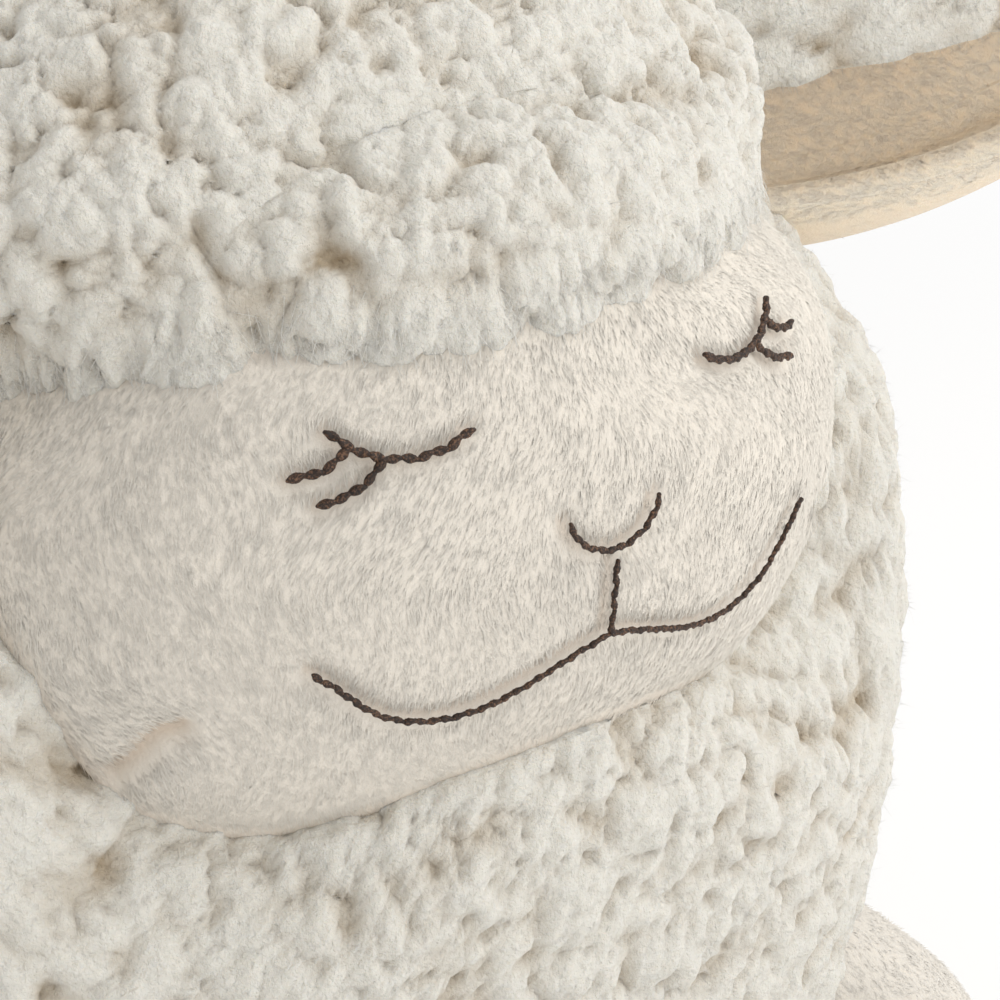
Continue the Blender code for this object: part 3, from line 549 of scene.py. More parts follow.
def growPile(piece, crops, outs=None):
    # Joins arrays of hairs to a piece's own mesh, and tells which faces are theirs.
    mesh = piece.data
    places = readPlaces(mesh)
    cloth = (
        places,
        np.zeros_like(places) if outs is None else outs,
        readAll(mesh.polygons, "loop_total", 1, np.int32),
        readAll(mesh.loops, "vertex_index", 1, np.int32),
        {"tip": np.zeros(len(places)), "strand": np.full(len(places), 0.5), "depth": readPaint(mesh, "depth")},
    )
    parts = [cloth] + crops
    firsts = np.cumsum([0] + [len(part[0]) for part in parts])
    places, normals, sizes = (np.concatenate([part[k] for part in parts]) for k in range(3))
    corners = np.concatenate([part[3] + first for part, first in zip(parts, firsts)])
    whole = bpy.data.meshes.new(mesh.name)
    whole.vertices.add(len(places))
    whole.loops.add(len(corners))
    whole.polygons.add(len(sizes))
    whole.vertices.foreach_set("co", places.ravel())
    whole.loops.foreach_set("vertex_index", corners.astype(np.int32))
    starts = np.concatenate(([0], np.cumsum(sizes)[:-1]))
    whole.polygons.foreach_set("loop_start", starts.astype(np.int32))
    whole.update(calc_edges=True)
    for name in ("tip", "strand", "depth"):
        paint(whole, name, np.concatenate([part[4][name] for part in parts]))
    whole.shade_smooth()
    # Hairs are shaded as the cloth that they grow on.
    whole.normals_split_custom_set_from_vertices(normals)
    piece.data = whole
    bpy.data.meshes.remove(mesh)
    return (np.arange(len(sizes)) >= len(cloth[2])).astype(np.int32)


def looseHairs(mesh, crop, dice, weights, outs=None):
    # Hairs that stand every way, bowed at random if the crop has a bow.
    count = crop["count"]
    # Each hair takes the painted shade of the cloth at its root.
    roots, ways, depths = scatter(mesh, count, dice, weights, outs)
    lengths = dice.uniform(*crop["length"], count)
    tangents = unit(np.cross(ways, unit(dice.normal(size=ways.shape))))
    thrown = unit(ways + tangents * dice.uniform(0.0, crop["lean"], (count, 1)))
    bows = ways * 0.0
    if crop["bow"]:
        bows = unit(dice.normal(size=ways.shape)) * crop["bow"][0] - ways * crop["bow"][1]
    widths = np.full(count, crop["width"])
    roots = roots - ways * hair["sunkRoot"]
    return hairs(roots, ways, thrown, bows, lengths, widths, depths, dice, crop["bends"])


def combedTufts(mesh, size, dice, weights, combing, salt, outs=None, bareLines=None):
    # Tufts that lie the way combing() gives at their roots, drifting in locks.
    pile = size["pile"]
    roots, outs, depths = scatter(mesh, size["tufts"], dice, weights, outs)
    if bareLines:
        keep = lineGap(roots, bareLines) > pile["bareReach"]
        roots, outs, depths = roots[keep], outs[keep], depths[keep]
    pitch = pile["pitch"]
    swirling, parting, tangling = pile["wander"]
    swirl = drift(roots, pitch * 5.0, salt)[:, 0] * swirling
    lock = cells(roots + drift(roots, pitch, salt + 1) * pitch * 0.3, pitch, salt + 2)[1]
    angle = swirl + (lock - 0.5) * parting + dice.normal(size=len(roots)) * tangling
    combed = combing(roots)
    flat = unit(combed - outs * dots(combed, outs)[:, None])
    turned = flat * np.cos(angle)[:, None] + np.cross(outs, flat) * np.sin(angle)[:, None]
    raised = pile["rise"] * (0.6 + 0.8 * dice.random(len(roots)))
    ways = unit(turned + outs * raised[:, None])
    longer = 1.0 - pile["lockShare"] / 2.0 + pile["lockShare"] * lock
    lengths = dice.uniform(*pile["length"], len(roots)) * longer
    widths = pile["width"] * dice.uniform(*hair["tuftWidthSpread"], len(roots))
    roots = roots - outs * pile["sunkRoot"]
    # Each tuft takes the painted shade of the cloth at its root.
    return hairs(roots, outs, ways, -outs * pile["bow"], lengths, widths, depths * pile["hollow"], dice, 0)


# Colours: each cloth has its own colour, painted darker at its roots than at its tips as shade low in the pile,
# and a painted shade colour in its hollows.

def feed(tree, node, inputs):
    # Gives a node its inputs: a socket is linked, and anything else is a value.
    for name, value in inputs.items():
        if isinstance(value, bpy.types.NodeSocket):
            tree.links.new(value, node.inputs[name])
        else:
            node.inputs[name].default_value = value


def addNode(tree, kind, output, inputs, **settings):
    made = tree.nodes.new("ShaderNode" + kind)
    for name, value in settings.items():
        setattr(made, name, value)
    feed(tree, made, inputs)
    return made.outputs[output]


def mixColours(tree, share, first, second):
    return addNode(tree, "Mix", 2, {"Factor": share, 6: first, 7: second}, data_type="RGBA")


def spread(tree, source, low, high, fromLow=0.0, fromHigh=1.0):
    inputs = {"Value": source, "From Min": fromLow, "From Max": fromHigh, "To Min": low, "To Max": high}
    return addNode(tree, "MapRange", "Result", inputs)


def newMaterial(name):
    material = bpy.data.materials.new(name)
    material.use_nodes = True
    return material, material.node_tree, material.node_tree.nodes["Principled BSDF"]


def makePileGroup():
    group = bpy.data.node_groups.new("pileColourAndShade", "ShaderNodeTree")
    numbers = ("Patch Scale", "Patch Depth", "Strand Depth", "Grain Scale")
    sockets = [(name, "INPUT", "Color") for name in ("Root", "Tip", "HollowShade")]
    sockets += [(name, "INPUT", "Float") for name in numbers]
    for name, way, kind in sockets + [("Colour", "OUTPUT", "Color"), ("Height", "OUTPUT", "Float")]:
        group.interface.new_socket(name, in_out=way, socket_type="NodeSocket" + kind)
    given = group.nodes.new("NodeGroupInput").outputs
    tip, strand, hollow = (
        addNode(group, "Attribute", "Fac", {}, attribute_name=name) for name in ("tip", "strand", "depth")
    )
    where = addNode(group, "TexCoord", "Object", {})
    # Painted shade: roots are darker than tips, and the painted depth mixes in the hollow shade colour.
    colour = mixColours(group, tip, given["Root"], given["Tip"])
    colour = mixColours(group, hollow, colour, given["HollowShade"])
    patch = {"Vector": where, "Scale": given["Patch Scale"], "Detail": 3.0, "Roughness": 0.6}
    for source, depth in ((addNode(group, "TexNoise", "Fac", patch), "Patch Depth"), (strand, "Strand Depth")):
        centred = addNode(group, "Math", 0, {0: source, 1: 0.5}, operation="SUBTRACT")
        value = addNode(group, "Math", 0, {0: centred, 1: given[depth], 2: 1.0}, operation="MULTIPLY_ADD")
        colour = addNode(group, "HueSaturation", "Color", {"Value": value, "Color": colour})
    grain = {"Vector": where, "Scale": given["Grain Scale"], "Detail": 4.0, "Roughness": 0.65}
    result = {"Colour": colour, "Height": addNode(group, "TexNoise", "Fac", grain)}
    feed(group, group.nodes.new("NodeGroupOutput"), result)
    return group


pileGroup = makePileGroup()
shine = {"cloth": 0.18, "pile": 0.04, "thread": 0.35}
glowTint = (1.0, 0.88, 0.74)


def pileMaterial(name, size, glow, specular):
    material, tree, shader = newMaterial(name)
    shade = tree.nodes.new("ShaderNodeGroup")
    shade.node_tree = pileGroup
    feed(tree, shade, size["pattern"])
    colour, height = shade.outputs
    bump = {"Strength": 1.0, "Distance": size["grainDepth"], "Height": height}
    feed(tree, shader, {
        "Base Color": colour,
        "Normal": addNode(tree, "Bump", "Normal", bump),
        "Roughness": spread(tree, height, size["roughness"] - 0.06, size["roughness"] + 0.06),
        "Specular IOR Level": specular,
        "Subsurface Weight": glow,
        "Subsurface Radius": glowTint,
        "Subsurface Scale": size["glowDepth"],
    })
    return material


def makeCloth(name, size):
    # The cloth lets light through; its separate hairs are too thin to.
    cloth = pileMaterial(name + "Cloth", size, size["glow"], shine["cloth"])
    return cloth, pileMaterial(name + "Pile", size, 0.0, shine["pile"])


def shortPile(root, tip, hollow, patchScale, patchDepth, strandDepth, glow, glowDepth):
    # The settings of a short combed cloth; its hollow colour is painted shade, and its roots are painted darker
    # than its tips as shade low in the pile.
    return {
        "pattern": {
            "Root": (*root, 1.0), "Tip": (*tip, 1.0), "HollowShade": (*hollow, 1.0),
            "Patch Scale": patchScale, "Patch Depth": patchDepth, "Strand Depth": strandDepth,
            "Grain Scale": 1400.0,
        },
        "roughness": 0.75, "grainDepth": 0.0003, "glow": glow, "glowDepth": glowDepth,
    }


# The hollow shade colours, and the roots darker than the tips, are painted shade.
fleeceColours = {
    "pattern": {
        "Root": (0.78, 0.755, 0.69, 1.0), "Tip": (0.91, 0.89, 0.84, 1.0), "HollowShade": (0.46, 0.36, 0.24, 1.0),
        "Patch Scale": 60.0, "Patch Depth": 0.08, "Strand Depth": 0.08,
        "Grain Scale": 620.0,
    },
    "roughness": 0.9, "grainDepth": 0.0016, "glow": 0.45, "glowDepth": 0.0014,
}
limbColours = shortPile(
    (0.775, 0.725, 0.65), (0.81, 0.775, 0.715), (0.56, 0.44, 0.33), 45.0, 0.10, 0.14, 0.15, 0.0012)
minkyColours = shortPile(
    (0.83, 0.765, 0.67), (0.86, 0.82, 0.74), (0.66, 0.53, 0.41), 45.0, 0.05, 0.08, 0.12, 0.0012)
liningColours = shortPile(
    (0.87, 0.745, 0.585), (0.89, 0.785, 0.645), (0.70, 0.53, 0.37), 50.0, 0.10, 0.14, 0.5, 0.0015)
fleeceCloth = makeCloth("fleece", fleeceColours)
minkyCloth = makeCloth("minky", minkyColours)
limbCloth = makeCloth("limb", limbColours)
liningCloth = makeCloth("lining", liningColours)


def finishPiece(piece, materials, onPile, body, nodes):
    piece.data.materials.clear()
    for material in materials:
        piece.data.materials.append(material)
    if onPile is not None:
        piece.data.polygons.foreach_set("material_index", onPile)
    if isinstance(body, str):
        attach(piece, body)
    else:
        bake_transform(piece)
    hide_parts(*nodes)


# The lines of the face, in shares of its half width and half height.
faceLines = {
    "eyelid": (
        (0.248, 0.533), (0.290, 0.509), (0.334, 0.499), (0.378, 0.501),
        (0.414, 0.511), (0.446, 0.532), (0.472, 0.562),
    ),
    "upperLash": ((0.446, 0.532), (0.474, 0.504), (0.505, 0.491), (0.543, 0.487)),
    "lowerLash": ((0.396, 0.506), (0.425, 0.474), (0.456, 0.452), (0.509, 0.435)),
    "nose": (
        (-0.097, 0.310), (-0.086, 0.280), (-0.058, 0.248), (0.0, 0.228),
        (0.058, 0.248), (0.086, 0.280), (0.097, 0.310),
    ),
    "cleft": ((0.0, 0.203), (0.0, 0.139), (0.0, 0.080), (0.0, 0.036)),
    "smile": (
        (0.0, 0.036), (0.062, 0.018), (0.125, -0.008), (0.188, -0.034), (0.246, -0.050), (0.308, -0.055),
        (0.368, -0.044), (0.424, -0.016), (0.468, 0.027), (0.502, 0.068), (0.541, 0.106),
    ),
    "dart": ((0.723, -0.008), (0.755, -0.029), (0.783, -0.087), (0.808, -0.133)),
}


def faceCurve(name, side, spacing=0.0008):
    return smoothLine(facePlaces(np.array(faceLines[name]) * np.array((side, 1.0))), spacing)


paired = ("eyelid", "upperLash", "lowerLash", "smile")
stitchCurves = [faceCurve(name, side) for name in paired for side in (1, -1)]
stitchCurves += [faceCurve(name, 1) for name in ("nose", "cleft")]
dartCurves = [faceCurve("dart", side) for side in (1, -1)]
fineShares = np.linspace(0.0, 1.0, 401)
hairlineCurve, chinCurve = (seamPlace(line(fineShares)) for line in (hairline, chinLine))


# Outer fleece of the body: the four panels and the base sewn together, closed behind the face.
fleeceBody = {
    "columns": 320,
    "rows": {"crown": 130, "bodyFront": 140, "backLeft": 260, "backRight": 260},
    "baseShares": (0.97, 0.9, 0.75, 0.55, 0.35, 0.15),
    "weld": 0.00012,
    "clumps": ((0.0094, 0.0031), (0.0048, 0.0028), (0.0026, 0.0014)),
    "sink": 0.0033,
    "seamLevel": 0.60,
    "hairlineFade": 0.012,
    "chinFade": 0.009,
    "flatBelow": (0.001, 0.010),
    "frontEdge": -0.01,
    "frontFade": 0.02,
    "hangReach": 0.009,
    "hangOut": (0.0010, 0.0026),
    "hangDown": (0.0006, 0.0042),
    "swellReach": 0.008,
    "swellOut": 0.0012,
    "pitsAt": 0.011,
    "pitsReach": 0.006,
    "pitsDepth": 0.9,
    "hangLight": 0.7,
    "seamHairs": (0.35, 0.65),
    "crops": (
        {
            "count": 80000, "length": (0.0009, 0.0023), "width": 0.000055,
            "lean": 1.6, "bow": (0.5, 0.25), "bends": 0,
        },
        {
            "count": 7000, "length": (0.0025, 0.0050), "width": 0.000055 * 0.8,
            "lean": 2.2, "bow": (0.5, 0.25), "bends": 1,
        },
    ),
    "fringe": 3000,
    "fringeAt": 0.003,
    "fringeReach": 0.005,
    "fringeLength": (0.0040, 0.0085),
    "fringeWidth": 0.000055,
    "fringeSpread": (0.45, 0.2, 0.3),
}


def relief(places, clumps, salt):
    # Height of the fleece's clumps above its lowest hollows, and how hollow each place is.
    height = np.zeros(len(places))
    hollow = np.zeros(len(places))
    total = sum(amount for pitch, amount in clumps)
    for number, (pitch, amount) in enumerate(clumps):
        wandered = places + drift(places, pitch * 2.2, salt + number) * pitch * 0.35
        dome = cells(wandered, pitch, salt + 7 * number)[0]
        height += dome * amount
        hollow += np.clip(1.0 - dome * 1.25, 0.0, 1.0) * amount / total
    return height, hollow


def shadeHollows(hollow):
    return hollow ** 1.25 * 1.25 - 0.1


def panelSheet(name, columns, rows):
    return gridSheet(columns, rows, lambda across, up: panelPlaces(name, across, up))


def closedCloth(name, sheet):
    # A piece closed inside the body, with its places, its ways out and which places show.
    closeHole(sheet, openEdges(sheet), form["closeAt"])
    piece = newPiece(name, sheet)
    places = readPlaces(piece.data)
    return piece, piece.data, places, shownNormals(piece.data), offClosing(places)


def baseSheet(count, shares):
    # The base, from its seam inwards.
    sheet = bmesh.new()
    bmesh.ops.create_circle(sheet, cap_ends=False, radius=1.0, segments=count)
    azimuths = np.array([math.degrees(math.atan2(vertex.co.x, -vertex.co.y)) for vertex in sheet.verts])
    for vertex, place in zip(sheet.verts, seamPlace(baseHeading(azimuths))):
        vertex.co = place
    border = sheet.edges[:]
    before = 1.0
    for share in shares:
        grown = bmesh.ops.extrude_edge_only(sheet, edges=border)["geom"]
        corners = [item for item in grown if isinstance(item, bmesh.types.BMVert)]
        inner = set(corners)
        edges = [item for item in grown if isinstance(item, bmesh.types.BMEdge)]
        border = [edge for edge in edges if inner.issuperset(edge.verts)]
        bmesh.ops.scale(sheet, vec=(share / before, share / before, 0.0), verts=corners)
        before = share
    closeHole(sheet, border, (0.0, 0.0, 0.0))
    return sheet


def makeFleeceBody():
    size = fleeceBody
    dice = np.random.default_rng(11)
    sheets = []
    for name, rows in size["rows"].items():
        columns = size["columns"] // (2 if name.startswith("back") else 1)
        sheets.append(panelSheet(name, columns, rows))
    sheets.append(baseSheet(2 * size["columns"], size["baseShares"]))
    piece, mesh, places, outs, inside = closedCloth("fleeceBody", joinSheets(sheets, size["weld"]))

    # Clumps stand out of the cloth, fade at the seams with the face, and lie flat underneath.
    height, hollow = relief(places, size["clumps"], 3)
    toHairline = lineGap(places, [hairlineCurve])
    toChin = lineGap(places, [chinCurve])
    fade = eased(size["seamLevel"] + toHairline / size["hairlineFade"])
    fade = fade * eased(size["seamLevel"] + toChin / size["chinFade"])
    lowest, rising = size["flatBelow"]
    above = eased((places[:, 2] - lowest) / rising)
    move = (height - size["sink"]) * fade * above * inside
    # The crown's edge hangs over the top of the face, and the front swells beside its lower edge.
    full = height / sum(amount for pitch, amount in size["clumps"])
    hang = near(toHairline, size["hangReach"]) * inside
    hang = hang * eased((size["frontEdge"] - places[:, 1]) / size["frontFade"])
    swell = near(toChin, size["swellReach"]) * inside
    least, more = size["hangOut"]
    move += hang * (least + more * full) + swell * size["swellOut"] * full
    places = places + outs * move[:, None]
    least, more = size["hangDown"]
    places[:, 2] -= hang * (least + more * full)
    movePlaces(mesh, places)
    # Painted shade: the clumps' hollows are darkened. Pits near the hairline are darkened both for the backing
    # knit's own darker colour and for the shade at the bottom of the pits. The painted shade is lightened on the
    # hanging lip.
    pits = eased(1.0 - np.abs(toHairline - size["pitsAt"]) / size["pitsReach"]) * eased((hollow - 0.35) / 0.3)
    hollow = np.clip(np.maximum(shadeHollows(hollow), pits * size["pitsDepth"]), 0.0, 1.0)
    paint(mesh, "depth", hollow * (1.0 - size["hangLight"] * hang))
    shown = shownNormals(mesh)

    least, more = size["seamHairs"]
    weights = above * inside * (least + more * eased(toHairline / size["hairlineFade"]))
    weights *= np.where(sizeOf(outs) > 0.5, 1.0, 0.0)
    crops = [looseHairs(mesh, crop, dice, weights, shown) for crop in size["crops"]]

    # Long hairs hang from the hairline over the top of the face.
    weights = eased(1.0 - np.abs(toHairline - size["fringeAt"]) / size["fringeReach"]) * inside
    roots, ways, depths = scatter(mesh, size["fringe"], dice, weights, shown)
    front = roots[:, 1] < size["frontEdge"]
    roots, ways, depths = roots[front], ways[front], depths[front] * 0.0
    down = np.array((0.0, -0.25, -1.0)) + dice.normal(size=roots.shape) * np.array(size["fringeSpread"])
    down -= ways * dots(down, ways)[:, None]
    lengths = dice.uniform(*size["fringeLength"], len(roots))
    widths = size["fringeWidth"] * dice.uniform(1.0, 1.9, len(roots))
    lit = unit(ways + np.array((0.0, -0.5, 0.5)))
    thrown = unit(unit(down) + ways * 0.6)
    crops.append(hairs(roots, lit, thrown, -ways * 0.50, lengths, widths, depths, dice, 1))
    nodes = ("crown_panel", "body_front_panel", "body_back_left_panel", "body_back_right_panel")
    nodes += ("base_panel", "body_stuffing")
    finishPiece(piece, fleeceCloth, growPile(piece, crops, shown), "body", nodes)


# Short combed pile of the face.
faceSkin = {
    "columns": 260,
    "rows": 140,
    "weld": 0.00005,
    "sink": 0.0009,
    "sinkReach": 0.004,
    "softness": (0.022, 0.0004, 0.01),
    "stitchSink": 0.0011,
    "stitchReach": 0.0032,
    "dartSink": 0.0024,
    "dartReach": 0.0042,
    "hollows": ((0.5, 0.0022), (0.8, 0.0028), (0.4, 0.005)),
    "tufts": 112000,
    "pile": {
        "length": (0.0020, 0.0031), "width": 0.00020, "bow": 0.08, "sunkRoot": 0.0002, "hollow": 0.8,
        "wander": (0.50, 0.36, 0.20), "pitch": 0.0042, "lockShare": 0.3, "rise": 0.26, "bareReach": 0.0006,
    },
}


def combFace(roots):
    # Pile falls down the face, away from its middle at the top and towards it below.
    across = roots[:, 0] / faceHalf[0]
    upward = (roots[:, 2] - faceCentre[2]) / faceHalf[2]
    sideways = np.sin(across * 2.4) * (-0.9 * eased(0.5 - upward) + 1.1 * eased(upward * 1.4))
    return np.stack((sideways, -0.2 + 0.0 * across, -1.0 + 0.0 * across), -1)


def makeFaceSkin():
    size = faceSkin
    dice = np.random.default_rng(12)
    sheet = panelSheet("face", size["columns"], size["rows"])
    bmesh.ops.remove_doubles(sheet, verts=sheet.verts[:], dist=size["weld"])
    piece, mesh, places, outs, outside = closedCloth("faceSkin", sheet)
    toSeam = lineGap(places, [hairlineCurve, chinCurve])
    toStitch = lineGap(places, stitchCurves)
    toDart = lineGap(places, dartCurves)
    pitch, amount, reach = size["softness"]
    soft = drift(places, pitch, 5)[:, 0] * amount
    move = -size["sink"] * eased(toSeam / size["sinkReach"]) + soft * eased(toSeam / reach)
    move -= size["stitchSink"] * near(toStitch, size["stitchReach"])
    move -= size["dartSink"] * near(toDart, size["dartReach"])
    movePlaces(mesh, places + outs * (move * outside)[:, None])
    # Painted shade darkens the cloth along the stitches, the darts and the seams.
    hollow = np.zeros(len(places))
    for gap, (amount, reach) in zip((toStitch, toDart, toSeam), size["hollows"]):
        hollow += amount * near(gap, reach)
    paint(mesh, "depth", np.clip(hollow, 0.0, 1.0))

    shown = shownNormals(mesh)
    crop = combedTufts(mesh, size, dice, outside.astype(float), combFace, 31, shown, stitchCurves)
    finishPiece(piece, minkyCloth, growPile(piece, [crop], shown), "body", ("face_panel",))


makeFleeceBody()
print("fleece body done")
makeFaceSkin()
print("face done")


# Limbs: round forms along a line, blown up as cloth, then covered in pile.

def loftPlaces(size, start, way, side):
    # Places a limb's surface at shares round it and along it.
    lift = unit(np.cross(side, way))
    side = unit(np.cross(way, lift))
    length = size["length"] + size["sunk"]

    def placed(around, along):
        shares = np.sin(along * math.pi / 2.0) if size["roundTip"] else along
        girth = smoothRead(size["profile"], shares)
        turn = 2.0 * math.pi * around
        wide, tall = np.cos(turn) * size["half"][0], np.sin(turn) * size["half"][1]
        ring = side * wide[:, None] + lift * tall[:, None]
        return start + way * (shares * length)[:, None] + ring * girth[:, None]

    return placed


def tubeSheet(size, placed, start, end):
    # A closed tube: a grid rolled up, its two ends closed by fans.
    sheet = gridSheet(size["columns"], size["rows"], placed)
    bmesh.ops.remove_doubles(sheet, verts=sheet.verts[:], dist=0.00002)
    middle = (start + end) / 2.0
    for place, sign in ((start, -1.0), (end, 1.0)):
        border = []
        for edge in openEdges(sheet):
            halfway = np.array((edge.verts[0].co + edge.verts[1].co) / 2.0)
            if ((halfway - middle) @ (end - start)) * sign > 0:
                border.append(edge)
        closeHole(sheet, border, tuple(place))
    return sheet


def limbSheet(size, pivot, way, across):
    start = pivot - way * size["sunk"]
    return tubeSheet(size, loftPlaces(size, start, way, across), start, pivot + way * size["length"])


puffing = {
    "startShare": 0.965,
    "voxel": 0.0042,
    "frames": 20,
    "held": (0.001, 0.008),
    "cloth": {
        "quality": 6, "mass": 0.15, "vertex_group_mass": "held",
        "use_pressure": True, "uniform_pressure_force": 4.0,
    },
}


def applyShape(piece):
    # The piece's mesh becomes what its modifiers make of it.
    graph = bpy.context.evaluated_depsgraph_get()
    shaped = bpy.data.meshes.new_from_object(piece.evaluated_get(graph))
    piece.modifiers.clear()
    piece.data = shaped
    return shaped


def puff(piece, root, way, cap):
    # Cloth with pressure inside, held at its root, then smoothed once.
    scene = bpy.context.scene
    places = readPlaces(piece.data)
    middle = places.mean(0)
    movePlaces(piece.data, middle + (places - middle) * puffing["startShare"])
    remesh = piece.modifiers.new("remesh", "REMESH")
    remesh.mode = "VOXEL"
    remesh.voxel_size = puffing["voxel"]
    before = readPlaces(applyShape(piece))
    held = piece.vertex_groups.new(name="held")
    least, fading = puffing["held"]
    for index, distance in enumerate((before - root) @ way):
        weight = float(near(distance - least, fading))
        if weight > 0:
            held.add([index], weight, "REPLACE")
    cloth = piece.modifiers.new("cloth", "CLOTH")
    for name, value in puffing["cloth"].items():
        setattr(cloth.settings, name, value)
    cloth.settings.effector_weights.gravity = 0.0
    cloth.collision_settings.use_collision = False
    for number in range(1, puffing["frames"] + 1):
        scene.frame_set(number)
    blown = applyShape(piece)
    move = readPlaces(blown) - before
    far = np.linalg.norm(move, axis=-1, keepdims=True)
    movePlaces(blown, before + move * np.minimum(1.0, cap / np.maximum(far, 1e-9)))
    print(piece.name, "puffed, most", round(float(far.max()) * 1000, 2), "mm")
    piece.vertex_groups.clear()
    scene.frame_set(1)
    smoother = piece.modifiers.new("smoother", "SUBSURF")
    smoother.levels = 1
    smoother.render_levels = 1
    applyShape(piece).name = piece.name


limbPile = {
    "length": (0.0020, 0.0032), "width": 0.00027, "bow": 0.1, "sunkRoot": hair["sunkRoot"], "hollow": 1.0,
    "wander": (0.5, 0.7, 0.28), "pitch": 0.0042, "lockShare": 0.3, "rise": 0.40,
}
limbFloor = {"lowest": 0.0006, "bareBelow": 0.001, "combDown": np.array((0.0, 0.0, -0.35))}


def jointLine(name, root, way, size):
    behind, ahead = size["blend"]
    return "body", name, root - way * behind, root + way * ahead


def coverInTufts(piece, size, root, way, name, parts, salt):
    # Short pile combed along the limb, which stays above the floor.
    mesh = piece.data
    places = readPlaces(mesh)
    places[:, 2] = np.maximum(places[:, 2], limbFloor["lowest"])
    movePlaces(mesh, places)
    paint(mesh, "depth", np.zeros(len(places)))
    weights = np.where(readPlaces(mesh)[:, 2] > limbFloor["bareBelow"], 1.0, 0.0)
    combed = way + limbFloor["combDown"]
    crop = combedTufts(mesh, size, np.random.default_rng(salt), weights, lambda roots: combed, salt)
    joint = jointLine(name, root, way, size)
    nodes = [name + part for part in parts]
    finishPiece(piece, limbCloth, growPile(piece, [crop]), joint, nodes)


def riseAtHeight(azimuthDeg, height):
    place = girthPoint(height, np.array(float(azimuthDeg)))
    return math.degrees(math.asin(unit(place - centre)[2]))


arm = {
    "rootHeight": 0.075,
    "rootSpanDeg": 6.0,
    "length": 0.088,
    "sunk": 0.022,
    "half": (0.027, 0.023),
    "way": (0.58, -0.46, -0.67),
    "profile": (
        (0.0, 0.74), (0.2, 0.82), (0.4, 0.92), (0.6, 1.0), (0.76, 0.99), (0.88, 0.84), (0.96, 0.54), (1.0, 0.20),
    ),
    "roundTip": True,
    "columns": 64,
    "rows": 50,
    "cap": 0.005,
    "blend": (0.010, 0.012),
    "tufts": 20000,
    "pile": limbPile,
}


def makeArm(side, word):
    azimuth = 90.0 * side
    rise = riseAtHeight(azimuth, arm["rootHeight"])
    pivot = seamPlace(heading(azimuth, rise))
    low, high = (seamPlace(heading(azimuth, rise + span)) for span in (-arm["rootSpanDeg"], arm["rootSpanDeg"]))
    way = unit(np.array(arm["way"]) * np.array((side, 1.0, 1.0)))
    piece = newPiece("arm" + word, limbSheet(arm, pivot, way, unit(high - low)))
    puff(piece, pivot, way, arm["cap"])
    coverInTufts(piece, arm, pivot, way, "arm_" + word.lower(), ("_cover", "_stuffing"), 51 + side)


leg = {
    "rootAzimuthDeg": 47.0,
    "length": 0.118,
    "sunk": 0.030,
    "half": (0.031, 0.029),
    "spreadDeg": 12.0,
    "flatDepth": 0.0018,
    "profile": ((0.0, 0.80), (0.2, 0.90), (0.42, 1.0), (0.62, 0.97), (0.8, 0.95), (0.92, 1.0), (1.0, 0.92)),
    "soleDome": 0.004,
    "soleThickness": 0.003,
    "soleShares": (0.985, 0.94, 0.86, 0.72, 0.52, 0.28, 0.08),
    "roundTip": False,
    "columns": 64,
    "rows": 50,
    "cap": 0.005,
    "blend": (0.012, 0.014),
    "tufts": 16000,
    "pile": limbPile,
}


def makeLeg(side, word):
    root = seamPlace(baseHeading(leg["rootAzimuthDeg"] * side))
    spreadAngle = math.radians(leg["spreadDeg"])
    way = np.array((math.sin(spreadAngle) * side, -math.cos(spreadAngle), 0.0))
    start = np.array((root[0], root[1], leg["half"][1] - leg["flatDepth"])) - way * leg["sunk"]
    body = loftPlaces(leg, start, way, np.array((1.0, 0.0, 0.0)))
    middle = start + way * (leg["length"] + leg["sunk"])
    sole = np.array(leg["soleShares"])
    bodyPart = 1.0 - len(sole) / leg["rows"]

    def placed(around, along):
        # The last rows round off the front end as the sole.
        places = body(around, np.minimum(along / bodyPart, 1.0))
        number = np.round((along - bodyPart) * leg["rows"]).astype(int) - 1
        share = sole[np.clip(number, 0, len(sole) - 1)]
        out = leg["soleThickness"] + leg["soleDome"] * np.sqrt(1.0 - share * share)
        domed = middle + way * out[:, None] + (places - middle) * share[:, None]
        return np.where((number >= 0)[:, None], domed, places)

    sheet = tubeSheet(leg, placed, start, middle + way * (leg["soleThickness"] + leg["soleDome"]))
    piece = newPiece("leg" + word, sheet)
    puff(piece, np.array((root[0], root[1], start[2])), way, leg["cap"])
    coverInTufts(piece, leg, root, way, "leg_" + word.lower(), ("_cover", "_stuffing", "_sole"), 61 + side)


def smallFleece(count):
    return {"count": count, "length": (0.0016, 0.0036), "width": 0.000055, "lean": 1.6, "bow": None, "bends": 0}


def coverInFleece(piece, size, salt, fade):
    # Clumps and fine hairs on a small fleece piece, with painted shade in the clumps' hollows.
    mesh = piece.data
    places = readPlaces(mesh)
    height, hollow = relief(places, size["clumps"], salt)
    movePlaces(mesh, places + readNormals(mesh) * ((height - size["sink"]) * fade)[:, None])
    paint(mesh, "depth", np.clip(shadeHollows(hollow), 0.0, 1.0))
    return growPile(piece, [looseHairs(mesh, size["hairs"], np.random.default_rng(salt), 0.05 + fade)])


tail = {
    "rootHeight": 0.062,
    "length": 0.052,
    "sunk": 0.016,
    "half": (0.019, 0.019),
    "droopDeg": 22.0,
    "profile": ((0.0, 0.62), (0.25, 0.78), (0.5, 0.96), (0.7, 1.0), (0.86, 0.86), (0.96, 0.52), (1.0, 0.20)),
    "roundTip": True,
    "columns": 96,
    "rows": 70,
    "blend": (0.008, 0.010),
    "clumps": ((0.0085, 0.0026), (0.0045, 0.0014), (0.0024, 0.0006)),
    "sink": 0.0014,
    "fadeFrom": 0.004,
    "fadeOver": 0.01,
    "hairs": smallFleece(9000),
}


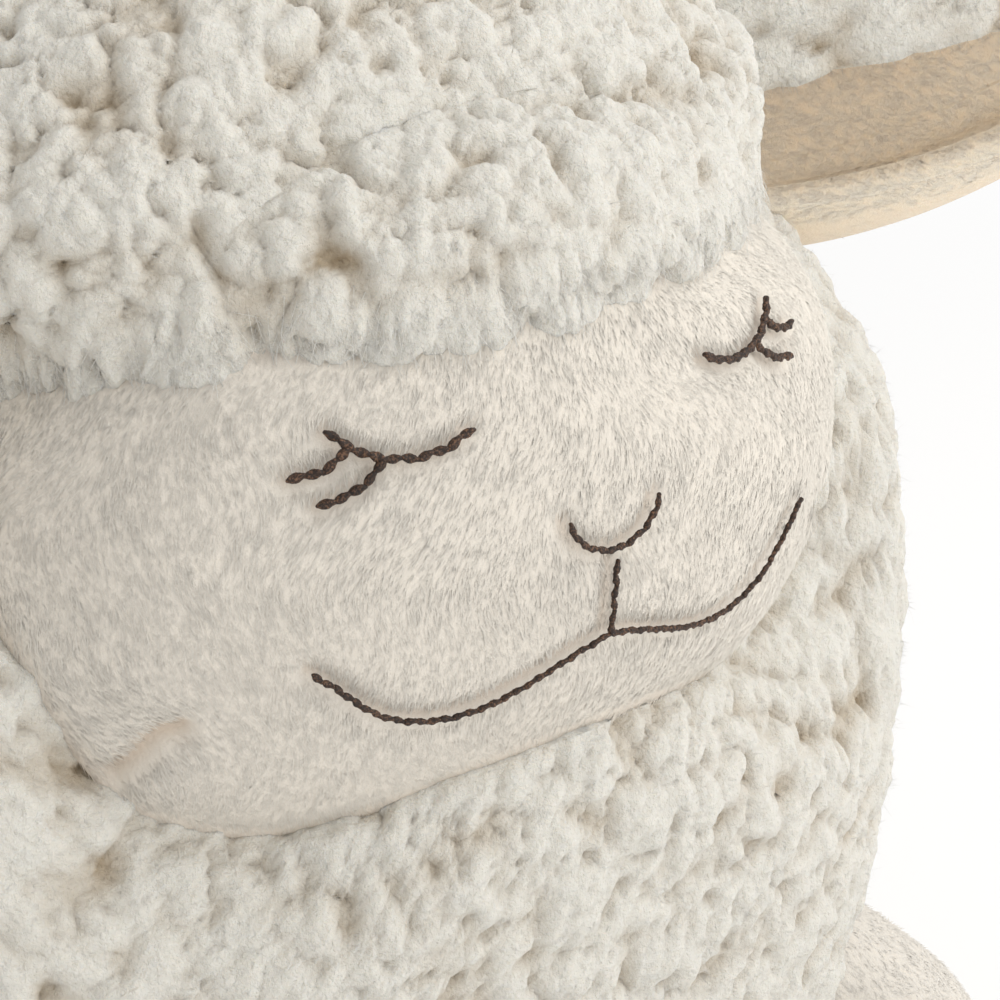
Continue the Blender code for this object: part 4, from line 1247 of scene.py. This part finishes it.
def makeTail():
    pivot = seamPlace(heading(180.0, riseAtHeight(180.0, tail["rootHeight"])))
    droop = math.radians(tail["droopDeg"])
    way = np.array((0.0, math.cos(droop), -math.sin(droop)))
    piece = newPiece("tail", limbSheet(tail, pivot, way, np.array((1.0, 0.0, 0.0))))
    fade = eased(((readPlaces(piece.data) - pivot) @ way + tail["fadeFrom"]) / tail["fadeOver"])
    onPile = coverInFleece(piece, tail, 71, fade)
    joint = jointLine("tail", pivot, way, tail)
    finishPiece(piece, fleeceCloth, onPile, joint, ("tail_cover", "tail_stuffing"))


ear = {
    "rootRiseDeg": 30.0,
    "length": 0.098,
    "sunk": 0.018,
    "halfHeight": 0.032,
    "halfDepth": 0.022,
    "fleeceDepth": 0.005,
    "liningDepth": 0.0084,
    "leanUpDeg": 8.0,
    "sweepForwardDeg": 20.0,
    "openingDeg": (20.0, -32.0),
    "profile": (
        (0.0, 0.80), (0.16, 0.92), (0.34, 1.0), (0.52, 0.98),
        (0.70, 0.86), (0.84, 0.68), (0.94, 0.46), (1.0, 0.24),
    ),
    "lowerRim": 0.21,
    "roll": 0.0225,
    "overlap": 0.0002,
    "rimThinning": (0.003, 0.027),
    "fill": (0.0095, 0.2),
    "columns": 84,
    "rows": 58,
    "blend": (0.008, 0.012),
    "clumps": ((0.0085, 0.0024), (0.0045, 0.0013), (0.0024, 0.0006)),
    "sink": 0.0014,
    "fadeFrom": 0.002,
    "fadeOver": 0.008,
    "edgeLevel": 0.3,
    "edgeFade": 0.006,
    "hairs": smallFleece(8000),
    "hollow": (0.4, 0.006, 0.030),
    "rimReach": 0.008,
    "tufts": 10000,
    "pile": {
        "length": (0.0016, 0.0026), "width": 0.00024, "bow": 0.1, "sunkRoot": hair["sunkRoot"], "hollow": 1.0,
        "wander": (0.4, 0.6, 0.25), "pitch": 0.004, "lockShare": 0.0, "rise": 0.30,
    },
}


def earFrame(side):
    pivot = seamPlace(heading(90.0 * side, ear["rootRiseDeg"]))
    up = math.radians(ear["leanUpDeg"])
    sweep = math.radians(ear["sweepForwardDeg"])
    way = unit(np.array((side * math.cos(up) * math.cos(sweep), -math.sin(sweep), math.sin(up))))
    lift = np.array((-side * math.sin(up), 0.0, math.cos(up)))
    return pivot, way, lift


def earPlaces(side, around, along, depth):
    # Places of the folded leaf at shares round the fold and along it, this deep below its outside.
    pivot, way, lift = earFrame(side)
    back = np.array((0.0, 1.0, 0.0))
    topDeg, lowDeg = ear["openingDeg"]
    turn = np.radians(180.0 - topDeg - (360.0 - topDeg + lowDeg) * around)
    shares = np.sin(along * math.pi / 2.0)
    girth = smoothRead(ear["profile"], shares)
    centres = pivot - way * ear["sunk"] + way * (shares * (ear["length"] + ear["sunk"]))[:, None]
    halfHeight, halfDepth = (
        np.maximum(half * girth - depth, half * girth * 0.1) for half in (ear["halfHeight"], ear["halfDepth"])
    )
    return centres + lift * (np.sin(turn) * halfHeight)[:, None] + back * (np.cos(turn) * halfDepth)[:, None]


def earLine(side, share, depth):
    return earPlaces(side, np.full(60, share), np.linspace(0.0, 1.0, 60), depth)


def shellSheet(outer, inner):
    # A closed solid between two sheets with the same grid, joined all round their border.
    whole = joinSheets([gridSheet(ear["columns"], ear["rows"], placed) for placed in (outer, inner)], 1e-7)
    bmesh.ops.bridge_loops(whole, edges=openEdges(whole))
    return whole


def makeEar(side, word):
    fleece, rim, overlap = ear["fleeceDepth"], 1.0 - ear["lowerRim"], ear["overlap"]

    def fleeceAt(depth):
        return lambda around, along: earPlaces(side, rim * around, along, depth)

    def liningOuter(around, along):
        # The lining rolls over the fleece's lower edge and covers the outside below it.
        inward = rim + ear["roll"] - around
        return earPlaces(side, around, along, -overlap + (fleece + 2.0 * overlap) * eased(inward / ear["roll"]))

    def liningInner(around, along):
        # The lining thins towards its lower rim and is fuller inside the fold.
        thinning, thinSpan = ear["rimThinning"]
        fill, fillSpan = ear["fill"]
        depth = ear["liningDepth"] - thinning * near(1.0 - around, thinSpan)
        return earPlaces(side, around, along, depth + fill * eased(np.minimum(around, 1.0 - around) / fillSpan))

    pivot, way, lift = earFrame(side)
    body = "ear_" + word.lower()
    joint = jointLine(body, pivot, way, ear)

    def aroundLine(mesh):
        # Places, how far along the ear they are, and how far they face away from its line.
        places = readPlaces(mesh)
        along = (places - pivot) @ way
        return places, along, dots(places - (pivot + way * along[:, None]), readNormals(mesh))

    outer = newPiece("ear" + word + "Outer", shellSheet(fleeceAt(0.0), fleeceAt(fleece)))
    places, along, facing = aroundLine(outer.data)
    fade = (facing > 0.0) * eased((along + ear["fadeFrom"]) / ear["fadeOver"])
    fade = fade * eased(ear["edgeLevel"] + lineGap(places, [earLine(side, rim, 0.0)]) / ear["edgeFade"])
    onPile = coverInFleece(outer, ear, 81 + side, fade)
    finishPiece(outer, fleeceCloth, onPile, joint, (body + "_outer",))

    lining = newPiece("ear" + word + "Lining", shellSheet(liningInner, liningOuter))
    mesh = lining.data
    places, along, facing = aroundLine(mesh)
    # Painted shade darkens the lining away from its two rims, deep inside the fold.
    toRims = lineGap(places, [earLine(side, share, 0.004) for share in (0.0, 1.0)])
    most, start, span = ear["hollow"]
    paint(mesh, "depth", eased((toRims - start) / span) * most)
    weights = np.where((facing < 0.0) | (toRims < ear["rimReach"]), 1.0, 0.02)
    combed = way + np.array((0.0, -0.5, 0.0))
    crop = combedTufts(mesh, ear, np.random.default_rng(91 + side), weights, lambda roots: combed, 95 + side)
    finishPiece(lining, liningCloth, growPile(lining, [crop]), joint, (body + "_lining",))


for side, word in ((1, "Left"), (-1, "Right")):
    makeArm(side, word)
    makeLeg(side, word)
    makeEar(side, word)
makeTail()
print("limbs done")


# Embroidery: plump twisted stitches, each laid a little across the line.
stitch = {
    "radius": 0.00065,
    "length": 0.0034,
    "pitch": 0.0027,
    "lift": 0.0004,
    "tiltDeg": 9.0,
    "flatShare": 0.9,
    "ply": 0.30,
    "twist": 4.2,
    "bluntness": 3.4,
    "dark": (0.020, 0.011, 0.007, 1.0),
    # The copper glint colour is a painted highlight.
    "copperGlint": (0.24, 0.125, 0.07, 1.0),
}


def stitchShape():
    # One stitch along z: an egg with two plies wound round each other.
    sheet = bmesh.new()
    bmesh.ops.create_uvsphere(sheet, u_segments=12, v_segments=9, radius=1.0)
    points, faces = shapeArrays(sheet)
    x, y, z = points.T
    swell = 1.0 + stitch["ply"] * np.cos(2.0 * np.arctan2(y, x) - stitch["twist"] * z)
    blunt = np.sqrt(np.clip(1.0 - np.abs(z) ** stitch["bluntness"], 0.0, 1.0))
    fuller = blunt / np.maximum(np.hypot(x, y), 1e-6)
    points[:, :2] *= (swell * np.where(np.abs(z) < 0.999, fuller, 1.0))[:, None]
    return points, faces


def makeThread():
    material, tree, shader = newMaterial("threadPly")
    where = addNode(tree, "TexCoord", "Object", {})
    strand = addNode(tree, "Attribute", "Fac", {}, attribute_name="strand")
    noise = {"Vector": where, "Scale": 2600.0, "Detail": 3.0, "Roughness": 0.7}
    fibres = addNode(tree, "TexNoise", "Fac", noise)
    # Noise mixes the dark thread with copper patches, which are painted glints of light on the plies.
    colour = mixColours(tree, spread(tree, fibres, 0.0, 1.0, 0.48, 0.74), stitch["dark"], stitch["copperGlint"])
    shade = {"Value": spread(tree, strand, 0.75, 1.3), "Color": colour}
    feed(tree, shader, {
        "Base Color": addNode(tree, "HueSaturation", "Color", shade),
        "Normal": addNode(tree, "Bump", "Normal", {"Strength": 0.6, "Distance": 0.0002, "Height": fibres}),
        "Roughness": spread(tree, fibres, 0.34, 0.58),
        "Specular IOR Level": shine["thread"],
    })
    return material


threadPly = makeThread()


def makeStitches(name, lines, radius, node, salt):
    # A piece of stitches along each line given as a face line's name and side.
    points, faces = stitchShape()
    dice = np.random.default_rng(salt)
    places = []
    for line, side in lines:
        curve = faceCurve(line, side, stitch["pitch"] * radius / stitch["radius"])
        middles = (curve[1:] + curve[:-1]) / 2.0
        alongs = unit(curve[1:] - curve[:-1])
        outs = unit((unitFace(middles - faceCentre) / faceHalf) @ faceTurn.T)
        for number, (middle, along, out) in enumerate(zip(middles, alongs, outs)):
            across = unit(np.cross(out, along))
            tilt = math.radians(stitch["tiltDeg"]) * (1.0 if number % 2 else -1.0) + dice.normal() * 0.06
            turned = along * math.cos(tilt) + across * math.sin(tilt)
            beside = unit(np.cross(out, turned))
            half = stitch["length"] / 2.0 * radius / stitch["radius"] * dice.uniform(0.93, 1.07)
            girth = radius * dice.uniform(0.94, 1.08)
            lifted = middle + out * (stitch["lift"] + dice.uniform(0.0, 0.00015))
            places.append(
                lifted + turned * (points[:, 2:3] * half) + beside * (points[:, 0:1] * girth)
                + out * (points[:, 1:2] * girth * stitch["flatShare"])
            )
    count = len(places)
    allFaces = [[corner + k * len(points) for corner in face] for k in range(count) for face in faces]
    mesh = bpy.data.meshes.new("stitches")
    mesh.from_pydata(np.concatenate(places).tolist(), [], allFaces)
    paint(mesh, "strand", np.repeat(dice.random(count), len(points)))
    sheet = bmesh.new()
    sheet.from_mesh(mesh)
    bpy.data.meshes.remove(mesh)
    piece = newPiece(name, sheet)
    piece.data.shade_smooth()
    finishPiece(piece, (threadPly,), None, "body", (node,))


eyeLines = ("eyelid", "upperLash", "lowerLash")
makeStitches("eyeLeft", [(line, 1) for line in eyeLines], 0.00062, "eye_left_stitching", 21)
makeStitches("eyeRight", [(line, -1) for line in eyeLines], 0.00062, "eye_right_stitching", 22)
makeStitches("nose", [("nose", 1)], 0.00050, "nose_stitching", 23)
makeStitches("mouth", [("smile", 1), ("smile", -1), ("cleft", 1)], 0.00050, "mouth_stitching", 24)
print("stitches done")

# White floor, plain soft light, and the camera of the photograph.
stageSize = {
    "floorHalf": 3.0,
    "floorHeight": -0.0006,
    "floorColour": (0.97, 0.97, 0.97, 1.0),
    "floorWhite": (0.45, 1.1),
    "camera": (-0.246, -0.374, 0.415),
    "yawDeg": 38.4,
    "pitchDeg": 24.95,
    "lens": 96.7,
    "roomLight": 0.77,
    "roomColour": (1.0, 0.995, 0.985, 1.0),
    "aim": (0.0, 0.0, 0.2),
    "lamps": (
        ("key", (0.75, -0.35, 1.15), 0.9, 4.1, (1.0, 0.985, 0.96)),
        ("fill", (0.70, -1.3, 0.85), 1.2, 8.0, (1.0, 0.99, 0.98)),
    ),
}


def showMix(tree, output, share, first, second):
    # Mixes two shaders by a share and shows the result.
    mix = addNode(tree, "MixShader", 0, {"Fac": share, 1: first, 2: second})
    feed(tree, tree.nodes[output], {"Surface": mix})


def makeWorld():
    # The camera, and mirrors, see plain white; cloth is lit by a softer room.
    world = bpy.data.worlds.new("plainRoom")
    bpy.context.scene.world = world
    world.use_nodes = True
    tree = world.node_tree
    white = tree.nodes["Background"]
    feed(tree, white, {"Color": (1.0, 1.0, 1.0, 1.0), "Strength": 1.0})
    room = {"Color": stageSize["roomColour"], "Strength": stageSize["roomLight"]}
    seen = addNode(tree, "LightPath", "Is Camera Ray", {})
    showMix(tree, "World Output", seen, addNode(tree, "Background", 0, room), white.outputs[0])


def makeStage():
    sheet = bmesh.new()
    bmesh.ops.create_grid(sheet, x_segments=1, y_segments=1, size=stageSize["floorHalf"])
    floor = newPiece("floor", sheet)
    floor.data.transform(Matrix.Translation((0.0, 0.0, stageSize["floorHeight"])))
    material, tree, shader = newMaterial("floorPaper")
    feed(tree, shader, {"Base Color": stageSize["floorColour"], "Roughness": 0.9})
    # Far off, the camera sees the floor as plain white.
    where = addNode(tree, "TexCoord", "Object", {})
    off = addNode(tree, "VectorMath", "Value", {0: where}, operation="LENGTH")
    far = spread(tree, off, 0.0, 1.0, *stageSize["floorWhite"])
    path = addNode(tree, "LightPath", "Is Camera Ray", {})
    seen = addNode(tree, "Math", 0, {0: far, 1: path}, operation="MULTIPLY")
    plain = addNode(tree, "Emission", 0, {"Strength": 1.0})
    showMix(tree, "Material Output", seen, shader.outputs[0], plain)
    floor.data.materials.append(material)

    for name, place, size, power, colour in stageSize["lamps"]:
        lamp = bpy.data.lights.new(name, "AREA")
        lamp.size = size
        lamp.energy = power
        lamp.color = colour
        holder = newObject(name, lamp)
        holder.location = place
        aim = Vector(stageSize["aim"]) - Vector(place)
        holder.rotation_euler = aim.to_track_quat("-Z", "Y").to_euler()

    yaw = math.radians(stageSize["yawDeg"])
    pitch = math.radians(stageSize["pitchDeg"])
    forward = Vector((math.sin(yaw) * math.cos(pitch), math.cos(yaw) * math.cos(pitch), -math.sin(pitch)))
    right = Vector((math.cos(yaw), -math.sin(yaw), 0.0))
    up = right.cross(forward)
    lens = bpy.data.cameras.new("camera")
    lens.lens = stageSize["lens"]
    lens.sensor_width = 36.0
    lens.clip_start = 0.01
    camera = newObject("camera", lens)
    turn = Matrix((right, up, -forward)).transposed().to_4x4()
    camera.matrix_world = Matrix.Translation(stageSize["camera"]) @ turn
    bpy.context.scene.camera = camera
    bpy.context.scene.view_settings.view_transform = "Standard"


makeWorld()
makeStage()
